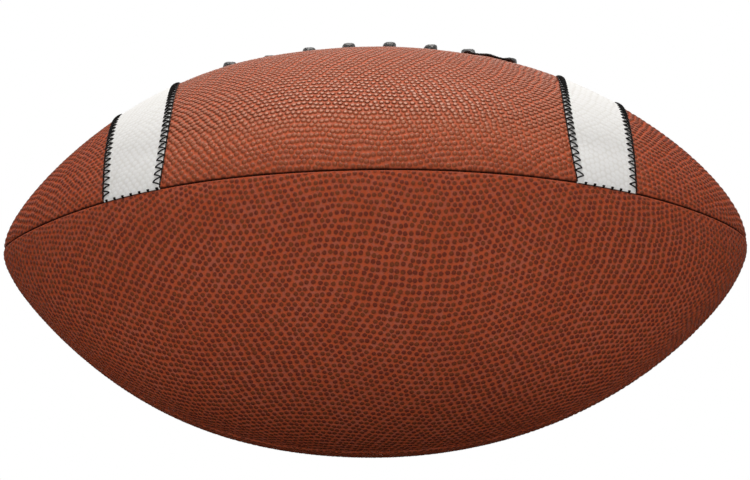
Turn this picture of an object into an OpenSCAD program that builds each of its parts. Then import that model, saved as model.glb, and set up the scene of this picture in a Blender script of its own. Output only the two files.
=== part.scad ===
// Laced American football, junior size: four leather panels with cloth linings, white stripes,
// seam and stripe thread, an eight-cross lace, and a bladder with its valve.
// X runs from tip to tip, Z points up through the lace, and the origin is the centre of the ball.

/* [Ball] */
// Length from tip to tip
ball_length = 266.7; // [255:0.1:285]
// Mean width across the middle
ball_width = 146.5; // [138:0.1:156]
// Radius of the rounded right tip
tip_radius = 19.6; // [17:0.1:22]
// Radius of the left tip, the more pointed one
left_tip_radius = 14.4; // [13:0.1:19]
// Share of the right half's taper that starts at the belly
belly_share = 0.307; // [0.25:0.001:0.36]
// Share of the left half's taper that starts at the belly
left_belly_share = 0.143; // [0.12:0.001:0.3]
// Share of the right half's taper that starts at the shoulders
shoulder_share = 0.1; // [0.05:0.001:0.15]
// Share of the left half's taper that starts at the shoulders
left_shoulder_share = 0.562; // [0.1:0.001:0.6]
// How far a seam stands out of the mean radius at the middle, as a share of it
ridge_share = 0.03; // [0.02:0.001:0.035]
// How far a panel swells past its seams at the tips, as a share of the radius
lobe_share = 0.042; // [0.02:0.001:0.05]

/* [Panels] */
// Thickness of the pebbled leather
leather = 2; // [1.8:0.05:2.4]
// Gap between two panels along a sewn seam
seam_gap = 0.1; // [0.05:0.01:0.2]
// Depth of the groove along a seam
groove_depth = 1.2; // [0.8:0.05:1.4]
// Width of one side of the groove
groove_width = 2.2; // [1.8:0.05:2.6]
// How far the turned-in seam allowance stands into the ball
flange_depth = 3.7; // [3:0.1:4.2]
// Radius of the pinhole where the four panels meet at a tip
tip_opening = 0.8; // [0.7:0.05:1.2]
// Thickness of the cloth lining
lining = 1; // [0.6:0.05:1.1]
// Layer of glue between leather, lining and facing
glue = 0.05; // [0.03:0.01:0.1]

/* [Stripes] */
// Width of a stripe along the ball
stripe_width = 20.7; // [18:0.1:22]
// Distance of a stripe's middle from its tip
stripe_from_tip = 53.85; // [52:0.05:56]
// How far the stripes and the lace sit towards the left tip
marking_shift = 2.1; // [0:0.1:3]
// Depth of the skived bed that a stripe lies in
bed_depth = 0.8; // [0.6:0.05:0.9]
// How far a stripe stands proud of the leather
stripe_proud = 0.3; // [0.2:0.05:0.4]
// Gap round a stripe in its bed
bed_gap = 0.05; // [0.03:0.01:0.08]
// Length of the bevel at the edge of a bed
bed_bevel = 0.3; // [0.2:0.05:0.4]

/* [Thread] */
// Diameter of the zigzag thread
thread_diameter = 0.55; // [0.4:0.05:0.7]
// Distance from tooth to tooth of the zigzag
zigzag_pitch = 2.8; // [2.6:0.1:3.4]
// How far the zigzag reaches into the stripe
zigzag_reach = 2.5; // [2:0.1:3]
// Diameter of a seam stitch
stitch_diameter = 0.6; // [0.5:0.05:0.7]
// Length of a seam stitch across its groove
stitch_length = 1.1; // [1:0.05:1.2]
// Depth of a seam stitch below the edges of its groove
stitch_depth = 0.3; // [0.2:0.05:0.4]
// Distance from stitch to stitch
stitch_pitch = 3.4; // [3:0.1:4.5]

/* [Lace] */
// Number of crosses
cross_count = 8; // [6:2:8]
// Distance from cross to cross
cross_pitch = 14.65; // [14:0.05:15]
// Width of the flat lace
lace_width = 4.9; // [4.5:0.1:5.1]
// Thickness of the flat lace
lace_thickness = 2.4; // [2:0.1:2.5]
// Width of the lace where it is gathered in a hole
lace_gathered = 2.6; // [2.4:0.1:2.8]
// How far the slackest cross stands off the leather
lace_lift = 0.6; // [0.4:0.05:0.8]
// Play between the lace's inner runs and what is above and below them
lace_play = 0.45; // [0.4:0.05:0.6]
// Distance of the lace holes from the seam
hole_offset = 16.5; // [15.5:0.1:17]
// Diameter of a lace hole
hole_diameter = 4.4; // [4.3:0.05:4.6]
// Length of the unsewn slit under the lace
slit_length = 112; // [109:0.5:115]
// Half the width of the slit at its middle
slit_opening = 1.6; // [1.5:0.05:2]
// Thickness of the facing that backs the lace holes
facing = 1; // [0.8:0.05:1.1]
// Thickness of the tongue under the lace
tongue = 1; // [0.8:0.05:1.1]
// Half the width of the tongue
tongue_reach = 20; // [19:0.5:21]

/* [Bladder and valve] */
// Wall of the rubber bladder
bladder_wall = 0.8; // [0.6:0.05:1]
// Clearance between the bladder and what surrounds it
bladder_gap = 0.7; // [0.6:0.05:0.9]
// Diameter of the inflating needle that the valve takes
needle_diameter = 2; // [1.8:0.1:2.2]
// Diameter of the valve core
core_diameter = 4.5; // [4.2:0.1:4.8]
// Diameter of the valve's nose in the leather
nose_diameter = 7; // [6.6:0.1:7.4]
// Diameter of the valve's barrel in the lining
barrel_diameter = 10; // [9.5:0.1:10.5]
// Diameter of the valve's flange
valve_flange_diameter = 20; // [18:0.5:21]
// Length of the valve from the leather's face inwards
valve_length = 11; // [10.5:0.1:12]
// How far the valve lies below the leather's face
nose_recess = 0.3; // [0.2:0.05:0.5]
// Running gap between the valve's pieces and round them
valve_gap = 0.05; // [0.03:0.01:0.1]

/* [Hidden] */
$fn = 48;

leather_colour = "#8a3d24";
stripe_colour = "#f4f3f2";
thread_colour = "#15110f";
lace_colour = "#221c1b";
cloth_colour = "#c9b99a";
rubber_colour = "#2b2b2b";

half_length = ball_length / 2;
mid_radius = ball_width / 2;
quarter = 90;
overrun = tip_radius / 4;
tip_share = tip_radius * half_length / pow(mid_radius, 2);
left_tip_share = left_tip_radius * half_length / pow(mid_radius, 2);
end_share = 1 - belly_share - shoulder_share - tip_share;
left_end_share = 1 - left_belly_share - left_shoulder_share - left_tip_share;
tip_station = acos(tip_opening / (mid_radius * sqrt(tip_share)));

// Angle round the ball from the lace seam at which each panel starts, turning to the front
front = 0;
low_front = quarter;
low_back = 2 * quarter;
back = 3 * quarter;

// Columns across a panel, the same for leather, lining and facing
columns = 13;
rim_columns = 2;
tip_spans = 6;
bed_spans = 2;
plain_spans = 20;
slit_spans = 9;

slit_start = -marking_shift - slit_length / 2;
slit_end = -marking_shift + slit_length / 2;
slit_taper = leather * 2;

// The shape of the ball: station angle t runs from tip to tip, x = half_length * sin(t)
function station(x) = asin(x / half_length);
function taper(w, belly, shoulder, end) = sqrt(1 - belly * w - shoulder * w * w - end * w * w * w);
function body_radius(t) =
    let (w = pow(sin(t), 2))
    mid_radius * cos(t) * (t < 0
        ? taper(w, left_belly_share, left_shoulder_share, left_end_share)
        : taper(w, belly_share, shoulder_share, end_share));
function relief_share(t) = ridge_share - (ridge_share + lobe_share) * pow(sin(t), 4);

// Outward normal of the profile, as its shares along X and outwards; at the middle both halves lie level
function slope(t) = t == 0 ? 0 : body_radius(t + 0.01) - body_radius(t - 0.01);
function advance(t) = half_length * (sin(t + 0.01) - sin(t - 0.01));
function along(t) = -slope(t) / norm([slope(t), advance(t)]);
function outward(t) = advance(t) / norm([slope(t), advance(t)]);
function tilt(t) = asin(along(t));

// Radius of the skin at station t, angle a from the lace seam, depth d below the smooth face
function skin_radius(t, a, d) = body_radius(t) * (1 + relief_share(t) * cos(4 * a)) - d * outward(t);
function skin(t, a, d) =
    let (r = skin_radius(t, a, d))
    [half_length * sin(t) - d * along(t), -r * sin(a), r * cos(a)];

module at_skin(t, a, d = 0) {
    translate(skin(t, a, d)) rotate([a, 0, 0]) rotate([0, tilt(t), 0]) children();
}

function steps(from, to, spans) = [for (i = [0 : spans]) from + (to - from) * i / spans];

// A closed solid between two grids of points of the same size
function grid_faces(rows, cols) =
    let (n = rows * cols)
    concat(
        [for (i = [0 : rows - 2], j = [0 : cols - 2]) let (p = i * cols + j) each
            [[p, p + cols, p + cols + 1], [p, p + cols + 1, p + 1]]],
        [for (i = [0 : rows - 2], j = [0 : cols - 2]) let (p = n + i * cols + j) each
            [[p, p + cols + 1, p + cols], [p, p + 1, p + cols + 1]]],
        [for (i = [0 : rows - 2], side = [0, 1])
            let (p = i * cols + side * (cols - 1), q = p + cols) each side == 0
                ? [[p, n + q, q], [p, n + p, n + q]]
                : [[p, q, n + q], [p, n + q, n + p]]],
        [for (j = [0 : cols - 2], end = [0, 1])
            let (p = end * (rows - 1) * cols + j, q = p + 1) each end == 0
                ? [[p, q, n + q], [p, n + q, n + p]]
                : [[p, n + q, q], [p, n + p, n + q]]]
    );

module slab(top, under) {
    rows = len(top);
    cols = len(top[0]);
    points = concat([for (row = top, p = row) p], [for (row = under, p = row) p]);
    polyhedron(points = points, faces = grid_faces(rows, cols), convexity = 8);
}

// Half the gap at a panel's edge: a sewn seam, or the lens-shaped slit under the lace
function in_slit(t) =
    let (x = half_length * sin(t))
    x > slit_start && x < slit_end ? 1 - pow((2 * x - slit_start - slit_end) / slit_length, 2) : 0;
function edge_gap(t, laced) = seam_gap / 2 + (laced ? slit_opening * in_slit(t) : 0);
function flange_at(t, laced) =
    let (x = half_length * sin(t))
    laced && x > slit_start - seam_gap && x < slit_end + seam_gap ? 0 : flange_depth;

// Angle of a line that keeps a distance from the seam plane, at most a share of the quarter
function inset(distance, radius, limit_share) =
    distance >= radius * sin(limit_share * quarter) ? limit_share * quarter : asin(distance / radius);
outer_limit_shares = [0.1, 0.2, 0.3];
inner_limit_shares = [0.1, 0.24, 0.3];
flange_taper_share = 0.85;

// Lines along a panel's rim, counted from its edge: outer face, then inner face with its flange
function outer_line(t, a, k, laced) =
    inset(edge_gap(t, laced) + k * groove_width / 2, skin_radius(t, a, 0), outer_limit_shares[k]);
function inner_line(t, a, k, d, laced) =
    inset(edge_gap(t, laced) + [0, flange_taper_share, 1][k] * leather,
          skin_radius(t, a, d), inner_limit_shares[k]);
function inner_depth(t, k, laced) = leather + (k < rim_columns ? flange_at(t, laced) : 0);

// Angle from the panel's first seam, mirrored at its middle
function mirrored(j) = min(j, columns - 1 - j);
function near_first(j) = j < columns / 2;
function has_slit(q, j) = q == front ? near_first(j) : q == back ? !near_first(j) : false;
function between(j, low, high) = low + (high - low) * (j - rim_columns) / (columns - 1 - 2 * rim_columns);

function outer_angle(q, t, j) =
    let (k = mirrored(j), a0 = q, a1 = a0 + quarter,
         low = outer_line(t, a0, min(k, rim_columns), has_slit(q, 0)),
         high = quarter - outer_line(t, a1, min(k, rim_columns), has_slit(q, columns - 1)))
    a0 + (k > rim_columns ? between(j, low, high) : near_first(j) ? low : high);
function inner_angle(q, t, j, d, clear = 0) =
    let (k = mirrored(j), a0 = q, a1 = a0 + quarter,
         c = clear / skin_radius(t, a0, d) * 180 / PI,
         low = inner_line(t, a0, min(k, rim_columns), d, has_slit(q, 0)) + c,
         high = quarter - inner_line(t, a1, min(k, rim_columns), d, has_slit(q, columns - 1)) - c)
    a0 + (k > rim_columns ? between(j, low, high) : near_first(j) ? low : high);

// Depth of the groove at a point of a panel, measured from its nearer edge
function groove(q, t, a, j) =
    let (from_seam = near_first(j) ? a - q : q + quarter - a,
         reach = skin_radius(t, a, 0) * sin(from_seam) - edge_gap(t, has_slit(q, j)))
    groove_depth * max(0, 1 - reach / groove_width);

// Stations along a panel
function stripe_middle(side) = side * (half_length - stripe_from_tip) - marking_shift;
function bed_low(side) = stripe_middle(side) - stripe_width / 2 - bed_gap;
function bed_high(side) = stripe_middle(side) + stripe_width / 2 + bed_gap;
function bed_stations(side) =
    steps(station(bed_low(side)), station(bed_high(side)), bed_spans);
upper_stations = concat(
    steps(-tip_station, station(bed_low(-1) - bed_bevel), tip_spans),
    bed_stations(-1),
    [station(bed_high(-1) + bed_bevel), station(slit_start - slit_taper)],
    steps(station(slit_start), station(slit_end), slit_spans),
    [station(slit_end + slit_taper), station(bed_low(1) - bed_bevel)],
    bed_stations(1),
    steps(station(bed_high(1) + bed_bevel), tip_station, tip_spans)
);
lower_stations = steps(-tip_station, tip_station, plain_spans);
function is_upper(q) = q == front || q == back;
function stations(q) = is_upper(q) ? upper_stations : lower_stations;

function in_bed(x, side) = x > bed_low(side) - bed_bevel / 2 && x < bed_high(side) + bed_bevel / 2;
function bed(q, t) =
    let (x = half_length * sin(t))
    is_upper(q) && (in_bed(x, -1) || in_bed(x, 1)) ? bed_depth : 0;

function face_point(q, t, j, d) =
    let (a = outer_angle(q, t, j))
    skin(t, a, groove(q, t, a, j) + d);
function back_point(q, t, j) =
    let (k = mirrored(j), laced = has_slit(q, j), d = inner_depth(t, k, laced))
    skin(t, inner_angle(q, t, j, d), d);

module panel_blank(q) {
    slab([for (t = stations(q)) [for (j = [0 : columns - 1]) face_point(q, t, j, bed(q, t))]],
         [for (t = stations(q)) [for (j = [0 : columns - 1]) back_point(q, t, j)]]);
}

// Lining, facing: sheets on the panel's own lines, between two depths
function sheet_grid(q, list, first, last, d, clear) =
    [for (t = list) [for (j = [first : last]) skin(t, inner_angle(q, t, j, d, clear), d)]];
lining_depth = leather + glue;
facing_depth = lining_depth + lining + glue;
lace_run_depth = facing_depth + facing + lace_play;
tongue_depth = lace_run_depth + lace_gathered + lace_play;
tongue_floor = tongue_depth + tongue;

function lining_stations(q) =
    let (all = stations(q), n = len(all))
    [for (i = [2 : n - 3])
        let (past_slit = abs(half_length * sin(all[i]) + marking_shift) > slit_length / 2 + glue)
        if (!is_upper(q) || !past_slit || i % 2 == 0 || i == n - 3) all[i]];

module lining_blank(q) {
    last = columns - 1 - rim_columns;
    slab(sheet_grid(q, lining_stations(q), rim_columns, last, lining_depth, glue),
         sheet_grid(q, lining_stations(q), rim_columns, last, lining_depth + lining, glue));
}

facing_stations = steps(station(slit_start), station(slit_end), slit_spans);
facing_columns = 2;
module facing_blank(q) {
    first = q == front ? rim_columns : columns - 1 - rim_columns - facing_columns;
    slab(sheet_grid(q, facing_stations, first, first + facing_columns, facing_depth, glue),
         sheet_grid(q, facing_stations, first, first + facing_columns, facing_depth + facing, glue));
}

// Lace holes
function cross_x(k) = -marking_shift + (k - (cross_count - 1) / 2) * cross_pitch;
function hole_angle(t) = asin(hole_offset / skin_radius(t, 0, 0));
module lace_holes(side) {
    for (k = [0 : cross_count - 1]) {
        t = station(cross_x(k));
        at_skin(t, side * hole_angle(t), lace_run_depth + overrun)
            cylinder(d = hole_diameter, h = lace_run_depth + 2 * overrun);
    }
}

valve_angle = low_back + quarter / 2;
module valve_hole(d) {
    at_skin(0, valve_angle, valve_length)
        cylinder(d = d + 2 * valve_gap, h = valve_length + overrun);
}

module panel_upper_front() {
    color(leather_colour) difference() {
        panel_blank(front);
        lace_holes(1);
    }
}
module panel_upper_back() {
    color(leather_colour) difference() {
        panel_blank(back);
        lace_holes(-1);
    }
}
module panel_lower_front() {
    color(leather_colour) panel_blank(low_front);
}
module panel_lower_back() {
    color(leather_colour) difference() {
        panel_blank(low_back);
        valve_hole(nose_diameter);
    }
}

module lining_upper_front() {
    color(cloth_colour) difference() {
        lining_blank(front);
        lace_holes(1);
    }
}
module lining_upper_back() {
    color(cloth_colour) difference() {
        lining_blank(back);
        lace_holes(-1);
    }
}
module lining_lower_front() {
    color(cloth_colour) lining_blank(low_front);
}
module lining_lower_back() {
    color(cloth_colour) difference() {
        lining_blank(low_back);
        valve_hole(barrel_diameter);
    }
}

// Stripe: lies in its bed from seam to seam
module stripe(q, side) {
    list = steps(station(stripe_middle(side) - stripe_width / 2),
                 station(stripe_middle(side) + stripe_width / 2), bed_spans);
    color(stripe_colour)
        slab([for (t = list) [for (j = [0 : columns - 1]) face_point(q, t, j, -stripe_proud)]],
             [for (t = list) [for (j = [0 : columns - 1]) face_point(q, t, j, bed_depth - bed_gap)]]);
}

// A tube along a path, with its own width direction, half width and half thickness at each point
function unit(v) = v / norm(v);
function tangent(path, i) = unit(path[min(i + 1, len(path) - 1)] - path[max(i - 1, 0)]);
function square_to(v, ahead) = unit(v - (v * ahead) * ahead);
function tube_ring(p, across, up, w, h, sides) =
    [for (s = [0 : sides - 1]) p + across * w * cos(s * 360 / sides) + up * h * sin(s * 360 / sides)];
function tube_rings(path, widths_along, ws, hs, sides) =
    [for (i = [0 : len(path) - 1])
        let (ahead = tangent(path, i), across = square_to(widths_along[i], ahead))
        tube_ring(path[i], across, cross(ahead, across), ws[i], hs[i], sides)];
module tube(path, widths_along, ws, hs, sides) {
    n = len(path);
    rings = tube_rings(path, widths_along, ws, hs, sides);
    walls = [for (i = [0 : n - 2], s = [0 : sides - 1])
        let (p = i * sides + s, q = i * sides + (s + 1) % sides) each
            [[p, p + sides, q + sides], [p, q + sides, q]]];
    caps = [for (s = [1 : sides - 2]) each
        [[0, s, s + 1], [(n - 1) * sides, (n - 1) * sides + s + 1, (n - 1) * sides + s]]];
    polyhedron(points = [for (ring = rings, p = ring) p], faces = concat(walls, caps), convexity = 8);
}

function normal(t, a) = [along(t), -outward(t) * sin(a), outward(t) * cos(a)];

// Zigzag thread: its teeth point into the stripe from one of its edges
thread_radius = thread_diameter / 2;
thread_height = stripe_proud + thread_radius + bed_gap;
thread_sides = 4;
module zigzag(q, edge, inwards) {
    t = station(edge);
    a0 = q + inset(groove_width + thread_radius, body_radius(t), 1 / 3);
    a1 = q + quarter - inset(groove_width + thread_radius, body_radius(t), 1 / 3);
    teeth = round((a1 - a0) * PI / 180 * body_radius(t) / zigzag_pitch);
    outer = station(edge);
    inner = station(edge + inwards * zigzag_reach);
    turns = [for (i = [0 : 2 * teeth]) [i % 2 == 0 ? outer : inner, a0 + (a1 - a0) * i / (2 * teeth)]];
    tube([for (p = turns) skin(p[0], p[1], -thread_height)], [for (p = turns) normal(p[0], p[1])],
         [for (p = turns) thread_radius], [for (p = turns) thread_radius], thread_sides);
}
module stripe_thread(q, side) {
    color(thread_colour) {
        zigzag(q, stripe_middle(side) - stripe_width / 2, 1);
        zigzag(q, stripe_middle(side) + stripe_width / 2, -1);
    }
}

// Seam thread: short stitches across the groove
function arc_between(t0, t1) =
    let (list = steps(t0, t1, plain_spans))
    [for (i = [1 : plain_spans])
        norm([half_length * (sin(list[i]) - sin(list[i - 1])),
              body_radius(list[i]) - body_radius(list[i - 1])])];
function total(list, i = 0) = i < len(list) ? list[i] + total(list, i + 1) : 0;
module stitches(a, t0, t1) {
    count = round(total(arc_between(t0, t1)) / stitch_pitch);
    for (i = [0 : count])
        at_skin(t0 + (t1 - t0) * i / count, a, stitch_depth)
            rotate([quarter, 0, 0]) cylinder(d = stitch_diameter, h = stitch_length, center = true);
}
sewn_station = station(half_length - tip_radius / 3);
module seam_thread(a) {
    color(thread_colour) stitches(a, -sewn_station, sewn_station);
}
module seam_thread_top() {
    color(thread_colour) {
        stitches(0, -sewn_station, station(slit_start - slit_taper));
        stitches(0, station(slit_end + slit_taper), sewn_station);
    }
}

// Lace: one strand, up and down like a ladder. It crosses over the seam at each pair of holes and runs
// lengthwise inside from cross to cross, on the front and the back by turns, and outside at the last pair.
// Each row is [x, share of the hole offset, height over the leather, gathering, width direction],
// where gathering is 0 for the flat lace and 1 inside a hole.
slack_shares = [0.4, 0, 0.6, 0.9, 1, 1, 0.9, 0.8];
lying_height = lace_thickness / 2 + bed_gap;
under_height = -(lace_run_depth + lace_gathered / 2);
hole_height = -(leather + lining);
along_x = [1, 0, 0];
along_y = [0, 1, 0];
along_z = [0, 0, 1];
function turn(k) = k % 2 == 0 ? 1 : -1;
function rise(k, s) =
    let (x = cross_x(k), w = turn(k) * along_x, lift = lying_height + slack_shares[k] * lace_lift)
    [[x, s, under_height, 1, w], [x, s, hole_height, 1, w], [x, s, -lace_thickness / 3, 1, w],
     [x, 0.98 * s, lift * 0.6, 0.8, w], [x, 0.9 * s, lift, 0.3, w]];
function crown(k, s) =
    let (x = cross_x(k), w = turn(k) * along_x, lift = lying_height + slack_shares[k] * lace_lift)
    [[x, 0.7 * s, lift, 0, w], [x, 0.35 * s, lift + bed_gap, 0, w]];
function reversed(list) = [for (i = [len(list) - 1 : -1 : 0]) list[i]];
function cross_rows(k) =
    let (s = -turn(k), x = cross_x(k), lift = lying_height + slack_shares[k] * lace_lift)
    concat(k == cross_count - 1 ? [] : rise(k, s), crown(k, s),
           [[x, 0, lift + bed_gap, 0, turn(k) * along_x]],
           reversed(crown(k, -s)), k == cross_count - 2 ? [] : reversed(rise(k, -s)));
function inner_run(k) =
    [[cross_x(k) + cross_pitch / 2, turn(k), under_height, 1, turn(k) * along_z]];
function outer_run(k) =
    let (edge_x = lace_width / 4, s = turn(k), w = turn(k) * along_y)
    [[cross_x(k) + edge_x, 1.02 * s, lying_height + bed_gap, 0.6, w],
     [cross_x(k) + cross_pitch / 2, 1.04 * s, lying_height + bed_gap, 0.8, w],
     [cross_x(k + 1) - edge_x, 1.02 * s, lying_height + bed_gap, 0.6, w]];
function lace_end(k, way) =
    [[cross_x(k) + way * cross_pitch / 2, -1, under_height, 1, way * turn(k) * along_z]];
lace_rows = concat(
    lace_end(0, 1),
    [for (k = [0 : cross_count - 1]) each
        concat(cross_rows(k),
               k < cross_count - 2 ? inner_run(k) : k < cross_count - 1 ? outer_run(k) : [])],
    lace_end(cross_count - 1, -1)
);
lace_sides = 6;
flat_share = sin(360 / lace_sides);
module lace() {
    ts = [for (r = lace_rows) station(r[0])];
    path = [for (i = [0 : len(lace_rows) - 1])
        skin(ts[i], lace_rows[i][1] * hole_angle(ts[i]), -lace_rows[i][2])];
    color(lace_colour)
        tube(path, [for (r = lace_rows) r[4]],
             [for (r = lace_rows) (lace_width + (lace_gathered - lace_width) * r[3]) / 2],
             [for (r = lace_rows) lace_thickness / 2 / flat_share], lace_sides);
}

module lace_facing_front() {
    color(cloth_colour) difference() {
        facing_blank(front);
        lace_holes(1);
    }
}
module lace_facing_back() {
    color(cloth_colour) difference() {
        facing_blank(back);
        lace_holes(-1);
    }
}
tongue_columns = 4;
function tongue_grid(d) =
    [for (t = facing_stations) let (reach = asin(tongue_reach / skin_radius(t, 0, d)))
        [for (a = steps(-reach, reach, tongue_columns)) skin(t, a, d)]];
module lace_tongue() {
    color(leather_colour) slab(tongue_grid(tongue_depth), tongue_grid(tongue_floor));
}

// Bladder: a revolved skin, set in under the lace and at the valve
bladder_spans = 36;
bladder_depth = lining_depth + lining + bladder_gap;
function bladder_point(t, d) =
    let (clear_panel = body_radius(t) * (1 - abs(relief_share(t))) - (bladder_depth + d) * outward(t),
         clear_seam = body_radius(t) * (1 + relief_share(t))
             - (leather + flange_depth + bladder_gap + d) * outward(t))
    [max(0, min(clear_panel, clear_seam)),
     half_length * sin(t) - (leather + flange_depth + bladder_gap + d) * along(t)];
module bladder_form(d) {
    inside = steps(-quarter, quarter, bladder_spans);
    rotate([0, quarter, 0]) rotate_extrude()
        polygon([for (t = inside) bladder_point(t, d)]);
}
lace_relief = bladder_gap + tongue_floor - bladder_depth - ridge_share * mid_radius;
seat_depth = valve_length / 2;
module bladder_solid(d) {
    difference() {
        bladder_form(d);
        difference() {
            translate([slit_start - slit_taper - d, -tongue_reach - slit_taper - d, 0])
                cube([slit_length + 2 * (slit_taper + d), 2 * (tongue_reach + slit_taper + d), ball_width]);
            bladder_form(d + lace_relief);
        }
        at_skin(0, valve_angle, seat_depth + d)
            cylinder(d = valve_flange_diameter + 2 * (bladder_gap + d), h = valve_length);
    }
}
stem_diameter = core_diameter + 2 * bladder_wall + 2 * valve_gap;
module bladder() {
    color(rubber_colour) difference() {
        bladder_solid(0);
        bladder_solid(bladder_wall);
        valve_hole(stem_diameter);
    }
}

// Valve: turned profiles, drawn with zero at the leather's face and inwards as minus Z
nose_top = -nose_recess;
barrel_top = -leather - 2 * nose_recess;
flange_top = -bladder_depth;
flange_drop = pow(valve_flange_diameter, 2) / mid_radius / 8 + nose_recess;
stem_foot = -valve_length + bladder_wall;
module valve_body() {
    color(rubber_colour) at_skin(0, valve_angle) rotate_extrude() polygon([
        [core_diameter / 2 + valve_gap, nose_top],
        [nose_diameter / 2, nose_top],
        [nose_diameter / 2, barrel_top],
        [barrel_diameter / 2, barrel_top],
        [barrel_diameter / 2, flange_top],
        [valve_flange_diameter / 2, flange_top - flange_drop],
        [valve_flange_diameter / 2, valve_gap - seat_depth],
        [stem_diameter / 2, valve_gap - seat_depth],
        [stem_diameter / 2, stem_foot],
        [core_diameter / 2 + valve_gap, stem_foot]
    ]);
}
core_top = nose_top - valve_gap;
core_lip = stem_foot - valve_gap;
module valve_core() {
    color(thread_colour) at_skin(0, valve_angle) rotate_extrude() polygon([
        [needle_diameter / 2 + bladder_wall / 2, core_top],
        [core_diameter / 2, core_top],
        [core_diameter / 2, core_lip],
        [stem_diameter / 2, core_lip],
        [stem_diameter / 2, core_lip - bladder_wall],
        [needle_diameter / 2, core_lip - bladder_wall],
        [needle_diameter / 2, core_top - bladder_wall / 2]
    ]);
}
module valve_patch() {
    patch_top = -(seat_depth + bladder_wall + valve_gap);
    color(rubber_colour) at_skin(0, valve_angle) rotate_extrude() polygon([
        [stem_diameter / 2 + valve_gap, patch_top],
        [valve_flange_diameter / 2, patch_top],
        [valve_flange_diameter / 2, patch_top - bladder_wall],
        [stem_diameter / 2 + valve_gap, patch_top - bladder_wall]
    ]);
}

panel_upper_front();
panel_upper_back();
panel_lower_front();
panel_lower_back();
lining_upper_front();
lining_upper_back();
lining_lower_front();
lining_lower_back();
stripe(front, -1);  // stripe_front_left
stripe(front, 1);  // stripe_front_right
stripe(back, -1);  // stripe_back_left
stripe(back, 1);  // stripe_back_right
stripe_thread(front, -1);  // stripe_thread_front_left
stripe_thread(front, 1);  // stripe_thread_front_right
stripe_thread(back, -1);  // stripe_thread_back_left
stripe_thread(back, 1);  // stripe_thread_back_right
seam_thread_top();
seam_thread(quarter);  // seam_thread_front
seam_thread(2 * quarter);  // seam_thread_bottom
seam_thread(3 * quarter);  // seam_thread_back
lace();
lace_facing_front();
lace_facing_back();
lace_tongue();
bladder();
valve_body();
valve_core();
valve_patch();
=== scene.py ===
import math

import bpy
import numpy as np
from mathutils import Matrix, Vector


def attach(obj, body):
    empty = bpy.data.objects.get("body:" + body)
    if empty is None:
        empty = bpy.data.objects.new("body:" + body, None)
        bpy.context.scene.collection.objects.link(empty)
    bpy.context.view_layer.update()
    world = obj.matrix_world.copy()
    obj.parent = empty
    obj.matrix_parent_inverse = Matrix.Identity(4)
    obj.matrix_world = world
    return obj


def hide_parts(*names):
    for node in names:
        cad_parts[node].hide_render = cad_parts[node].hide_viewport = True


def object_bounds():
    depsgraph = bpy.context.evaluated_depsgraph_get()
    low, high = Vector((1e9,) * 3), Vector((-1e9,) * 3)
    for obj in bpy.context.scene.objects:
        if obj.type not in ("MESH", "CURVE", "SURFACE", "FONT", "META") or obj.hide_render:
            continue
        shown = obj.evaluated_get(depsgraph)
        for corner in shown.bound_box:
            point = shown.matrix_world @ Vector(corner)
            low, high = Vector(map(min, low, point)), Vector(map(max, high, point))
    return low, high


bl_info = {
    "name": "Laced football",
    "version": (1, 0, 0),
    "blender": (4, 5, 0),
    "location": "3D View > Sidebar > Football",
    "description": "Dresses the football's frame with pebbled leather, stripes, thread, lace and rubber",
    "category": "Add Mesh",
}

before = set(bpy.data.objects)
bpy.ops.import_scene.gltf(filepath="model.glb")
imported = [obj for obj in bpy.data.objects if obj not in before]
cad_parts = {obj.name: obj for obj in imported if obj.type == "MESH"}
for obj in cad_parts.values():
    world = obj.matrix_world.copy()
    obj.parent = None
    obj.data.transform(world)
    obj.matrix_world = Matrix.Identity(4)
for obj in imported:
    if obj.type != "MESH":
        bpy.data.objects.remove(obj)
cad_low, cad_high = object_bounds()

MM = 0.001
QUARTER = math.pi / 2
# Each panel starts so many quarters round the ball from the lace seam, turning to the front.
PANELS = {"upper_front": 0, "lower_front": 1, "lower_back": 2, "upper_back": 3}
# Which of an upper panel's edges, in that turn, lies at the lace
LACED_EDGE = {"upper_front": "first", "upper_back": "last"}
# Each stripe's name, the angle at which its panel starts, and its side of the ball
STRIPES = [(f"{place}_{end}", low, side) for place, low in (("front", 0.0), ("back", 3 * QUARTER))
           for end, side in (("left", -1), ("right", 1))]
# How much wax and painted sheen the leather has: least on the lower panels, most at the middle of the upper
# ones
WAX_AND_SHEEN_LEAST, WAX_AND_SHEEN_MOST = 0.35, 0.85
# Distance in mm between the rings of a fine tube
FINE_STEP = 0.42


def hex_linear(code):
    """A colour written as sRGB hex, as the linear values that Blender shades with, and 1 for its alpha: each
    channel c becomes c / 12.92 when it is small, else ((c + 0.055) / 1.055) to the power 2.4."""
    channels = np.array([int(code[i:i + 2], 16) for i in (1, 3, 5)]) / 255
    linear = np.where(channels <= 0.04045, channels / 12.92, ((channels + 0.055) / 1.055) ** 2.4)
    return (*(float(c) for c in linear), 1.0)


def smooth(x):
    """0 below 0, 1 above 1, and 3x^2 - 2x^3 between them."""
    x = np.clip(x, 0, 1)
    return x * x * (3 - 2 * x)


def within(away, limit, blur):
    """0 from a limit on, and smoothly up to 1 over the blur before it."""
    return smooth((limit - away) / blur)


def unit(vectors):
    """Vectors divided by their lengths."""
    return vectors / np.maximum(np.linalg.norm(vectors, axis=-1, keepdims=True), 1e-6)


def even_turns(count):
    """Angles of even steps once round a circle."""
    return 2 * math.pi * np.arange(count) / count


# Sizes and colours that a user would change

def length(name, text, mm, low, high):
    """A size that is given in mm and kept in metres."""
    return bpy.props.FloatProperty(name=name, description=text, default=mm * MM, min=low * MM, max=high * MM,
                                   subtype="DISTANCE", unit="LENGTH", precision=5)


def colour(name, text, code):
    """A colour that is given as hex and kept as linear values."""
    return bpy.props.FloatVectorProperty(name=name, description=text, default=hex_linear(code), size=4,
                                         min=0, max=1, subtype="COLOR")


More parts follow.
